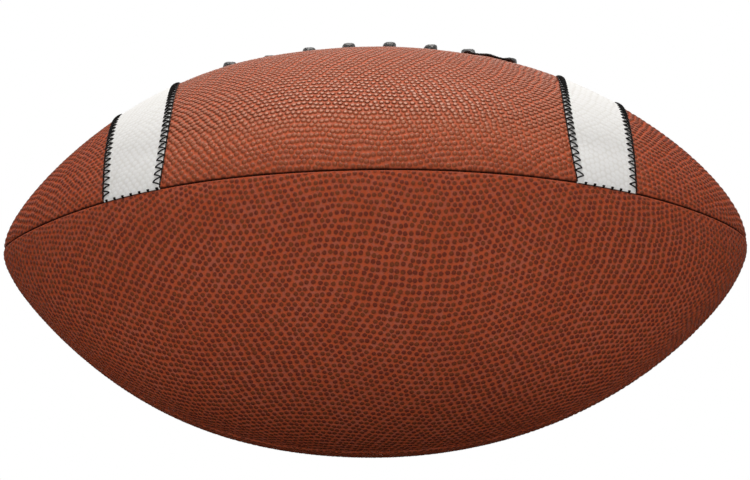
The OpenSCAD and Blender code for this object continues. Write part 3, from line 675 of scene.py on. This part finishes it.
def woven_cotton(colours):
    """Plain-woven cotton ply, stiff with latex: warp and weft 1 mm apart, drawn as two crossed waves."""
    material, tree, place = new_material("cotton_woven_ply")
    warp, weft = (
        add_node(tree, "TexWave", {
            "bands_direction": way, "Vector": place, "Scale": 0.314 / MM, "Distortion": 0.4}, "Fac")
        for way in "XY")
    weave = add_node(tree, "Math", {"operation": "MAXIMUM", 0: warp, 1: weft})
    base = coloured(tree, hex_linear("#a2957c"), ((weave, 0.0, 1.0, 1.0, colours.cloth),))
    relief = add_node(tree, "Bump", {"Height": weave, "Distance": 0.15 * MM, "Strength": 0.8})
    return surfaced(material, {
        "Base Color": base, "Normal": relief, "Roughness": 0.9, "IOR": 1.45, "Specular IOR Level": 0.15,
        "Sheen Weight": 0.15, "Sheen Roughness": 0.5})


def moulded_rubber(colours, name, roughness, dust):
    """Butyl rubber from a mould: near black, satin, with a little bloom of talc."""
    material, tree, place = new_material(name)
    talc = add_node(tree, "TexNoise", {"Vector": place, "Scale": 1 / (6 * MM), "Detail": 4.0})
    base = coloured(tree, colours.rubber, ((talc, 0.5, 0.8, dust, "#706e6c"),))
    grain = add_node(tree, "TexNoise", {"Vector": place, "Scale": 1 / (0.6 * MM), "Detail": 2.0})
    relief = add_node(tree, "Bump", {"Height": grain, "Distance": 0.03 * MM, "Strength": 0.4})
    return surfaced(material, {
        "Base Color": base, "Normal": relief, "Roughness": roughness, "IOR": 1.52, "Specular IOR Level": 0.4})


def dress_node(name, material):
    """Gives a CAD node its finish and leaves its mesh alone."""
    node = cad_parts[name]
    node.data.materials.clear()
    node.data.materials.append(material)
    return node


# Operators, one for each group of pieces

def settings_of(context):
    """The sizes and colours of the scene, and the ball that the sizes give."""
    scene = context.scene
    return scene.football_sizes, scene.football_colours, Ball(scene.football_sizes)


class FOOTBALL_OT_panels(bpy.types.Operator):
    """Covers the ball with its four pebbled leather panels"""
    bl_idname = "football.panels"
    bl_label = "Leather panels"

    def execute(self, context):
        sizes, colours, ball = settings_of(context)
        leather = pebbled_leather(colours, sizes.pebble_pitch / MM)
        for name in PANELS:
            rings, values, flat = panel_rings(ball, name, sizes)
            faces = ring_faces(*rings.shape[:2])
            piece = new_mesh("cover_" + name, rings, faces, leather, values, flat)
            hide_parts("panel_" + name)
        dress_node("lace_tongue", leather)
        return {"FINISHED"}


class FOOTBALL_OT_stripes(bpy.types.Operator):
    """Lays the four white stripes in their beds, two on each upper panel"""
    bl_idname = "football.stripes"
    bl_label = "White stripes"

    def execute(self, context):
        sizes, colours, ball = settings_of(context)
        coat = coated_leather(colours, sizes.pebble_pitch / MM)
        for name, low, side in STRIPES:
            sheets, values, flat = self.stripe(ball, low, side, sizes)
            doubled = {key: np.stack([value, value]) for key, value in values.items()}
            faces = slab_faces(*sheets.shape[1:3])
            piece = new_mesh(f"band_{name}", sheets, faces, coat, doubled, np.stack([flat, flat]))
            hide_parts(f"stripe_{name}")
        return {"FINISHED"}

    def stripe(self, ball, low, side, sizes):
        """A stripe as a top and an under grid, along its width and round the panel, that follow the panel's
        face. Its long edges roll down in a quarter circle, and its ends turn into the seams."""
        columns, in_lip, inner = 49, 7, np.linspace(0, 1, 236)
        edge_roll, edge_width, underside, relief = 0.62, 0.6, 0.74, 0.08
        v = np.linspace(-1, 1, columns)
        v = (np.sign(v) * (1 - (1 - np.abs(v)) ** 1.15))[:, None]
        t = ball.station(side * (ball.half - ball.stripe_from_tip) + v * ball.stripe_width / 2)
        end = ball.seam_gap / 2 / (ball.radius(t) * ball.swell(t, low))
        lip = ball.groove_width / ball.radius(t)
        ease = (np.arange(in_lip) / in_lip) ** 1.7
        a = low + np.concatenate([end + lip * ease, end + lip + (QUARTER - 2 * end - 2 * lip) * inner,
                                  QUARTER - end - lip * ease[::-1]], 1)
        edges = [ball.stripe_edge(side, way, from_lace(low, a)) for way in (-1, 1)]
        x = (edges[0] + edges[1]) / 2 + v * (edges[1] - edges[0]) / 2
        t = ball.station(x)
        reach = np.minimum(a - low - end, low + QUARTER - end - a) * ball.radius(t) * ball.swell(t, a)
        u, w = ball.flat(t, a, low + QUARTER / 2)
        grain = dome(pebbles(u, w, sizes.pebble_pitch / MM))
        from_edge = np.minimum(x - edges[0], edges[1] - x)
        # The grain fades out at the seams and at the long edges.
        roll = edge_roll * (1 - np.sqrt(1 - (1 - np.clip(from_edge / edge_width, 0, 1)) ** 2))
        fade = smooth((reach - 0.1) / 0.8) * smooth(from_edge / 0.8)
        depth = ball.lip(reach, ball.tight) - ball.stripe_proud + roll - fade * (grain - 0.5) * relief
        sheets = np.stack([ball.skin(t, a, depth), ball.skin(t, a, ball.lip(reach) + underside)])
        # The ends, where the stripe turns into the seams, carry a painted shade.
        return sheets, {"pebbled": fade, "painted_shade": within(reach, 0.05, 0.05)}, np.stack([u, w], -1)


def bars(starts, ends, ups, radius, arch, sink, sides=6, rows=7):
    """Short stitches, all at once: each is a tube from a start to an end that rises by arch in the middle, as
    a sine, and sinks at both ends into its needle holes. Returns points and faces of them all."""
    q = np.linspace(0, 1, rows)
    wave = np.sin(math.pi * q)
    lift = arch * wave ** 0.7 - sink * (1 - wave) ** 3
    path = starts[:, None] + (ends - starts)[:, None] * q[None, :, None] + ups[:, None] * lift[None, :, None]
    ahead = unit(np.gradient(path, axis=1))
    across = unit(np.cross(ahead, np.broadcast_to(ups[:, None], ahead.shape)))
    rise, turn = np.cross(across, ahead), even_turns(sides)[:, None]
    size = radius * (0.8 + 0.2 * wave ** 0.5)[None, :, None, None]
    points = path[:, :, None] + size * (across[:, :, None] * np.cos(turn) + rise[:, :, None] * np.sin(turn))
    quads, caps = ring_faces(rows, sides)
    first = (np.arange(len(starts)) * rows * sides)[:, None, None]
    return points.reshape(-1, 3), [(quads + first).reshape(-1, 4), (caps + first).reshape(-1, sides)]


class FOOTBALL_OT_stripe_threads(bpy.types.Operator):
    """Sews the stripes down: a corded edge and a zigzag whose teeth reach into the stripe"""
    bl_idname = "football.stripe_threads"
    bl_label = "Stripe threads"

    def execute(self, context):
        sizes, colours, ball = settings_of(context)
        thread = twisted_thread(colours)
        for name, low, side in STRIPES:
            points, faces, first = [], [], 0
            for way in (-1, 1):
                edge = (ball, low, side, way)
                for some, groups in (self.zigzag(*edge, sizes), self.cord(*edge)):
                    points.append(some)
                    faces += [group + first for group in groups]
                    first += len(some)
            piece = new_mesh(f"stitching_{name}", np.concatenate(points), faces, thread)
            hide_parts(f"stripe_thread_{name}")
        return {"FINISHED"}

    def zigzag(self, ball, low, side, way, sizes):
        """Straight stitches between needle holes that lie by turns just outside the stripe's edge and a reach
        inside it."""
        outside, end_gap, sink = 0.35, 1.5, 0.25
        r = float(ball.radius(ball.station(ball.stripe_edge(side, way, 0.5))))
        span = QUARTER - 2 * end_gap / r
        teeth = round(span * r / (sizes.zigzag_pitch / MM))
        hole = np.arange(2 * teeth + 1)
        a = low + end_gap / r + span * hole / (2 * teeth)
        x = ball.stripe_edge(side, way, from_lace(low, a))
        x = x + way * np.where(hole % 2 == 0, outside, -sizes.zigzag_reach / MM)
        t = ball.station(x)
        at, up = ball.skin(t, a, -ball.stripe_proud), ball.normal(t, a)
        radius = sizes.thread_diameter / MM / 2
        return bars(at[:-1], at[1:], (up[:-1] + up[1:]) / 2, radius, radius + 0.12, sink)

    def cord(self, ball, low, side, way):
        """The thread laid along the stripe's edge: a flat three-strand rope, whose radius is a cosine of
        three times the angle round it, turned once in each lay."""
        lay, strand_relief, half_width, half_height = 3.4, 0.13, 0.16, 0.2
        end_gap, outside, raised, sides = 0.6, 0.12, 0.2, 10
        r = float(ball.radius(ball.station(ball.stripe_edge(side, way, 0.5))))
        a = np.linspace(low + end_gap / r, low + QUARTER - end_gap / r, int(QUARTER * r / FINE_STEP))
        t = ball.station(ball.stripe_edge(side, way, from_lace(low, a)) + way * outside)
        reach = np.minimum(a - low, low + QUARTER - a) * r
        centre, up = ball.skin(t, a, ball.lip(reach) - raised), ball.normal(t, a)
        across = np.cross(unit(np.gradient(centre, axis=0)), up)
        turn = even_turns(sides)
        size = 1 + strand_relief * np.cos(3 * turn + (a * r / lay * 2 * math.pi)[:, None])
        points = (centre[:, None] + across[:, None] * (half_width * size * np.cos(turn))[..., None]
                  + up[:, None] * (half_height * size * np.sin(turn))[..., None])
        return points.reshape(-1, 3), ring_faces(len(a), sides)


class FOOTBALL_OT_seam_threads(bpy.types.Operator):
    """Sews the four long seams with short stitches across the groove"""
    bl_idname = "football.seam_threads"
    bl_label = "Seam threads"

    def execute(self, context):
        sizes, colours, ball = settings_of(context)
        thread = twisted_thread(colours)
        pitch, radius, on_white, sunk, stop = 3.4, sizes.seam_thread / MM / 2, 0.6, 0.25, 4
        sewn = ball.arc(ball.station(ball.half - ball.tip_radius / 3))
        slit = [ball.arc(ball.station(ball.shift + way * (ball.slit + stop))) for way in (-1, 1)]
        whole = [(-sewn, sewn)]
        # By seam: quarters round the ball, its sewn spans, and how far its stitches reach to each side
        seams = {"top": (0, [(-sewn, slit[0]), (slit[1], sewn)], (0.6, 0.6)), "front": (1, whole, (0.1, 0.3)),
                 "bottom": (2, whole, (0.25, 0.25)), "back": (3, whole, (0.3, 0.1))}
        for name, (quarter, spans, reaches) in seams.items():
            s = np.concatenate([np.linspace(a, b, int(round((b - a) / pitch)) + 1) for a, b in spans])
            t, a = ball.at_arc(s), quarter * QUARTER
            r = ball.radius(t)
            # On a white stripe the front and back seams' stitches are thicker and reach further in, over its
            # end. On leather they lie sunk in the groove.
            white = ball.on_stripe(ball.half * np.sin(t), 1) < 0
            over = [white & (name == "back"), white & (name == "front")]
            reach = [np.where(part, on_white, far) for part, far in zip(over, reaches)]
            deep = [np.where(part, ball.lip(far, ball.tight) - ball.stripe_proud - sunk,
                             ball.lip(far) * 0.7 + sunk) for part, far in zip(over, reach)]
            thick = np.where(over[0] | over[1], 2.2 * radius, radius)[:, None, None, None]
            starts = ball.skin(t, a + np.arctan2(reach[0], r), deep[0])
            ends = ball.skin(t, a - np.arctan2(reach[1], r), deep[1])
            points, faces = bars(starts, ends, ball.normal(t, a), thick, arch=0.1, sink=0.1)
            piece = new_mesh(f"stitches_{name}", points, faces, thread)
            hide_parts(f"seam_thread_{name}")
        return {"FINISHED"}


def lace_rows(ball, full):
    """The lace's route as rows of place along the ball, share of the way from the seam to the holes, height
    over the skin, gathering, thickness and width direction. It climbs out of one hole, crosses the seam,
    dives into the other, and runs on inside to the next pair, on the front and the back by turns, but outside
    between the last two. Each cross has its own height, and leans a little to one side at its front hole."""
    wall = ball.leather + ball.lining + ball.facing + 2 * ball.glue
    inside, tuck, last = -(wall + ball.lace_play + ball.lace_gathered / 2), 7.3, len(CROSS_X) - 1
    rows = [(CROSS_X[0] + tuck, -1, inside, 1, full, (0, 0, 1))]
    for k, (x, top, lean) in enumerate(zip(CROSS_X, CROSS_TOPS, CROSS_LEAN)):
        turn = 1 if k % 2 == 0 else -1
        thick = min(full, top - 0.1)
        lift = top - thick / 2

        def row(share, height, gather):
            """A row of this cross at a share of the way to the front hole, below 0 to the back one."""
            outside = height > -1
            leaned = x + lean * float(smooth(share)) * outside
            return leaned, share, height, gather, thick if outside else full, (turn, 0, 0)

        # Height, share of the way to the hole and gathering, from the inside up, then on towards the seam
        climb = [(inside, 1, 1), (-3, 1, 1), (-0.8, 1, 1), (lift * 0.6, 0.98, 0.8), (lift, 0.9, 0.3)]
        over = [(lift, 0.7, 0), (lift + 0.05, 0.35, 0)]
        rows += [row(-turn * q, h, g) for h, q, g in (climb if k < last else []) + over]
        rows += [row(0, lift + 0.05, 0)]
        rows += [row(turn * q, h, g) for h, q, g in over[::-1] + (climb[::-1] if k != last - 1 else [])]
        if k < last - 1:
            rows.append((x + CROSS_PITCH / 2, turn, inside, 1, full, (0, 0, turn)))
        elif k == last - 1:
            # The outer run, flat on the leather, as distance from the cross, share, height and gathering
            run = ((1.8, 1, 0.5, 0.6), (4.2, 1.03, 0.5, 0.8), (CROSS_PITCH / 2, 1.05, 0.9, 0.8),
                   (10.45, 1.03, 0.5, 0.8), (12.85, 1, 0.5, 0.6))
            rows += [(x + far, q * turn, h, g, 0.9, (0, turn, 0)) for far, q, h, g in run]
    rows.append((CROSS_X[-1] - tuck, -1, inside, 1, full, (0, 0, 1)))
    return rows


def spline(values, steps):
    """Catmull-Rom curve through rows of values, with so many steps between each two."""
    p = np.concatenate([[2 * values[0] - values[1]], values, [2 * values[-1] - values[-2]]])
    q = (np.arange(steps) / steps)[None, :, None]
    p0, p1, p2, p3 = (p[i:len(p) - 3 + i, None] for i in range(4))
    curve = 0.5 * (2 * p1 + (p2 - p0) * q + (2 * p0 - 5 * p1 + 4 * p2 - p3) * q ** 2
                   + (3 * p1 - p0 - 3 * p2 + p3) * q ** 3)
    return np.concatenate([curve.reshape(-1, values.shape[1]), values[-1:]])


class FOOTBALL_OT_lace(bpy.types.Operator):
    """Laces the slit with one strand: eight crosses, and the runs between them"""
    bl_idname = "football.lace"
    bl_label = "Lace"

    def execute(self, context):
        sizes, colours, ball = settings_of(context)
        rows = lace_rows(ball, sizes.lace_thickness / MM)
        x, share, height, gather, thick = (np.array([row[i] for row in rows], float) for i in range(5))
        t = ball.station(x)
        hole = np.arcsin(ball.hole_offset / (ball.radius(t) * ball.swell(t, 0)))
        places = ball.skin(t, share * hole, -height)
        widths = np.array([row[5] for row in rows], float)
        route = spline(np.concatenate([places, gather[:, None], widths, thick[:, None]], 1), 12)
        far = np.concatenate([[0], np.cumsum(np.linalg.norm(np.diff(route[:, :3], axis=0), axis=1))])
        along = np.linspace(0, far[-1], int(far[-1] / FINE_STEP))
        route = np.stack([np.interp(along, far, column) for column in route.T], 1)
        points, faces = self.strand(route, along, sizes, ball.lace_gathered)
        piece = new_mesh("lace_strand", points, faces, coated_lace(colours))
        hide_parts("lace")
        return {"FINISHED"}

    def strand(self, route, along, sizes, gathered):
        """A flat strip carried along the route. Its section is a rounded rectangle, a superellipse, narrower
        where it is gathered, and a pebbled grain stands off it."""
        sides, power, grain_pitch, grain_height, least_thick = 30, 3.2, 1.35, 0.12, 0.8
        path, gather, across = route[:, :3], np.clip(route[:, 3], 0, 1), route[:, 4:7]
        ahead = unit(np.gradient(path, axis=0))
        across = unit(across - (across * ahead).sum(-1, keepdims=True) * ahead)
        up, turn = np.cross(ahead, across), even_turns(sides)
        c, s = (np.sign(wave) * np.abs(wave) ** (2 / power) for wave in (np.cos(turn), np.sin(turn)))
        width, thickness = sizes.lace_width / MM, sizes.lace_thickness / MM
        half_width = (width + (gathered - width) * gather) / 2
        half_thick = np.clip(route[:, 7], least_thick, thickness) / 2
        u, w = np.broadcast_arrays(along[:, None], (turn * (width + thickness) / math.pi)[None])
        grow = grain_height * (dome(pebbles(u, w, grain_pitch)) - 0.6)
        points = (path[:, None] + across[:, None] * ((half_width[:, None] + grow) * c)[..., None]
                  + up[:, None] * ((half_thick[:, None] + grow) * s)[..., None])
        return points.reshape(-1, 3), ring_faces(len(path), sides)


class FOOTBALL_OT_inside(bpy.types.Operator):
    """Finishes the pieces inside: linings, facings, bladder and valve"""
    bl_idname = "football.inside"
    bl_label = "Lining, bladder and valve"

    def execute(self, context):
        colours = context.scene.football_colours
        cotton = woven_cotton(colours)
        for name in (*("lining_" + panel for panel in PANELS), "lace_facing_front", "lace_facing_back"):
            dress_node(name, cotton)
        dress_node("bladder", moulded_rubber(colours, "rubber_butyl_bladder", roughness=0.5, dust=0.5))
        valve = moulded_rubber(colours, "rubber_moulded_valve", roughness=0.45, dust=0.15)
        for name in ("valve_body", "valve_core", "valve_patch"):
            dress_node(name, valve)
        return {"FINISHED"}


class FOOTBALL_OT_stage(bpy.types.Operator):
    """Sets the floor, the studio light and the camera"""
    bl_idname = "football.stage"
    bl_label = "Stage, light and camera"

    def execute(self, context):
        self.floor()
        self.world(context.scene)
        self.lamp("softbox_above", (0.0, -0.22, 1.23), (0.8, 0.6), watts=15.2, tint="#fffcf8", gloss=True)
        self.lamp("softbox_front", (0.0, -1.10, -0.57), (1.6, 0.6), watts=10.4, tint="#fffdfb", gloss=False)
        self.camera(context.scene)
        return {"FINISHED"}

    def floor(self):
        """A round pale floor under the ball. The photograph looks up at the ball, so the floor's underside is
        clear. From above it is matt and shows the shadow, and it fades to the white of the background. Only
        the camera sees it pale, so that it throws no light up at the ball. The lamp in front shines through
        it, but less so close under the ball, which keeps the ball's underside in shade."""
        radius, spokes = 2.5, 96
        rings, turn = np.linspace(0.0, radius, 26)[1:, None], even_turns(spokes)
        x, y = rings * np.cos(turn), rings * np.sin(turn)
        disc = np.stack([x, y, np.full_like(x, cad_low[2])], -1).reshape(-1, 3)
        i, j = np.meshgrid(np.arange(len(rings) - 1), np.arange(spokes), indexing="ij")
        p, q = 1 + i * spokes + j, 1 + i * spokes + (j + 1) % spokes
        faces = np.stack([p, p + spokes, q + spokes, q], -1).reshape(-1, 4).tolist()
        faces += [[0, 1 + k, 1 + (k + 1) % spokes] for k in range(spokes)]
        mesh = bpy.data.meshes.new("floor")
        mesh.from_pydata(np.concatenate([[[0, 0, cad_low[2]]], disc]), [], faces)
        mesh.update()
        floor = bpy.data.objects.new("floor", mesh)
        bpy.context.scene.collection.objects.link(floor)
        mesh.materials.append(self.board())

    def board(self):
        """Painted board: matt, white where it fades out, clear from below and to part of the lamps' light."""
        material, tree, place = new_material("floor_painted_board")
        away = add_node(tree, "VectorMath", {"operation": "LENGTH", 0: place}, "Value")
        seen, shadow = (add_node(tree, "LightPath", None, ray) for ray in ("Is Camera Ray", "Is Shadow Ray"))
        back = add_node(tree, "NewGeometry", None, "Backfacing")
        shade = coloured(tree, hex_linear("#3c3b3a"), ((seen, 0.0, 1.0, 1.0, "#f4f3f1"),))
        board = add_node(tree, "BsdfDiffuse", {"Color": shade})
        white = add_node(tree, "Emission", {"Color": hex_linear("#ffffff"), "Strength": 1.0})
        far = add_node(tree, "MapRange", {"interpolation_type": "SMOOTHSTEP", 0: away, 1: 0.3, 2: 1.1})
        fade = add_node(tree, "Math", {"operation": "MULTIPLY", 0: far, 1: seen})
        lit = add_node(tree, "MixShader", {0: fade, 1: board, 2: white})
        under = add_node(tree, "MapRange", {
            "interpolation_type": "SMOOTHSTEP", 0: away, 1: 0.0, 2: 0.17, 3: 0.4, 4: 1.0})
        passed = add_node(tree, "Math", {"operation": "MULTIPLY", 0: shadow, 1: under})
        open_way = add_node(tree, "Math", {"operation": "MAXIMUM", 0: back, 1: passed})
        clear = add_node(tree, "BsdfTransparent")
        one_sided = add_node(tree, "MixShader", {0: open_way, 1: lit, 2: clear})
        add_node(tree, "OutputMaterial", {"Surface": one_sided})
        return material

    def world(self, scene):
        """White where the camera looks, in reflections and through anything clear, and a grey fill for the
        light that it throws on the ball."""
        world = bpy.data.worlds.new("studio")
        scene.world = world
        world.use_nodes = True
        tree = world.node_tree
        tree.nodes.clear()
        seen = add_node(tree, "LightPath", None, "Is Camera Ray")
        for ray in ("Is Glossy Ray", "Is Transmission Ray"):
            seen = add_node(tree, "Math", {
                "operation": "MAXIMUM", 0: seen, 1: add_node(tree, "LightPath", None, ray)})
        shade = coloured(tree, hex_linear("#7c7c7d"), ((seen, 0.0, 1.0, 1.0, "#ffffff"),))
        sky = add_node(tree, "Background", {"Color": shade, "Strength": 1.0})
        add_node(tree, "OutputWorld", {"Surface": sky})
        scene.view_settings.view_transform = "Standard"

    def lamp(self, name, place, size, watts, tint, gloss):
        """A softbox that looks at the ball's middle. Only one with gloss shows in reflections."""
        lamp = bpy.data.lights.new(name, "AREA")
        lamp.shape = "RECTANGLE"
        lamp.size, lamp.size_y = size
        lamp.energy = watts
        lamp.color = hex_linear(tint)[:3]
        holder = bpy.data.objects.new(name, lamp)
        bpy.context.scene.collection.objects.link(holder)
        turn = (-Vector(place)).to_track_quat("-Z", "Y").to_matrix().to_4x4()
        holder.matrix_world = Matrix.Translation(place) @ turn
        holder.visible_camera = False
        holder.visible_glossy = gloss

    def camera(self, scene):
        """The photograph's view: 20 degrees below the ball's long axis, square to it but for a fifth of a
        degree, with a slight roll. The lens and shift come from the outline's size and place in the frame, in
        pixels of the photograph."""
        lift, yaw, roll, away = 0.350, 0.004, 0.0106, 0.7685
        photo_width, photo_height, focal, centre_x, centre_y = 750, 480, 2136.9, 375.45, 248.9
        right = Vector((1, 0, 0))
        ahead = Vector((0, math.cos(lift), math.sin(lift)))
        up = Vector((0, -math.sin(lift), math.cos(lift)))
        right, ahead = (right * math.cos(yaw) - ahead * math.sin(yaw),
                        right * math.sin(yaw) + ahead * math.cos(yaw))
        right, up = right * math.cos(roll) - up * math.sin(roll), right * math.sin(roll) + up * math.cos(roll)
        lens = bpy.data.cameras.new("camera")
        lens.sensor_fit = "HORIZONTAL"
        lens.sensor_width = 36
        lens.lens = lens.sensor_width * focal / photo_width
        lens.shift_x = (photo_width / 2 - centre_x) / photo_width
        lens.shift_y = (centre_y - photo_height / 2) / photo_width
        lens.clip_start, lens.clip_end = 0.01, 20
        camera = bpy.data.objects.new("camera", lens)
        scene.collection.objects.link(camera)
        axes = Matrix((right, up, -ahead)).transposed().to_4x4()
        camera.matrix_world = Matrix.Translation(-ahead * away) @ axes
        scene.camera = camera


class FOOTBALL_PT_sidebar(bpy.types.Panel):
    """Lists the football's sizes, colours and steps"""
    bl_idname = "FOOTBALL_PT_sidebar"
    bl_label = "Football"
    bl_space_type = "VIEW_3D"
    bl_region_type = "UI"
    bl_category = "Football"

    def draw(self, context):
        for group in (context.scene.football_sizes, context.scene.football_colours):
            column = self.layout.column(align=True)
            for key in group.__annotations__:
                column.prop(group, key)
        for step in STEPS:
            self.layout.operator(step.bl_idname)


STEPS = (FOOTBALL_OT_panels, FOOTBALL_OT_stripes, FOOTBALL_OT_stripe_threads, FOOTBALL_OT_seam_threads,
         FOOTBALL_OT_lace, FOOTBALL_OT_inside, FOOTBALL_OT_stage)
CLASSES = (FootballSizes, FootballColours, *STEPS, FOOTBALL_PT_sidebar)


def register():
    """Registers the classes, and gives each scene its sizes and colours."""
    for each in CLASSES:
        bpy.utils.register_class(each)
    bpy.types.Scene.football_sizes = bpy.props.PointerProperty(type=FootballSizes)
    bpy.types.Scene.football_colours = bpy.props.PointerProperty(type=FootballColours)


def unregister():
    """Takes back what register does, in the opposite order."""
    del bpy.types.Scene.football_colours
    del bpy.types.Scene.football_sizes
    for each in reversed(CLASSES):
        bpy.utils.unregister_class(each)


def main():
    """Makes all the pieces and the stage."""
    register()
    for step in ("panels", "stripes", "stripe_threads", "seam_threads", "lace", "inside", "stage"):
        getattr(bpy.ops.football, step)()


if __name__ == "__main__":
    main()
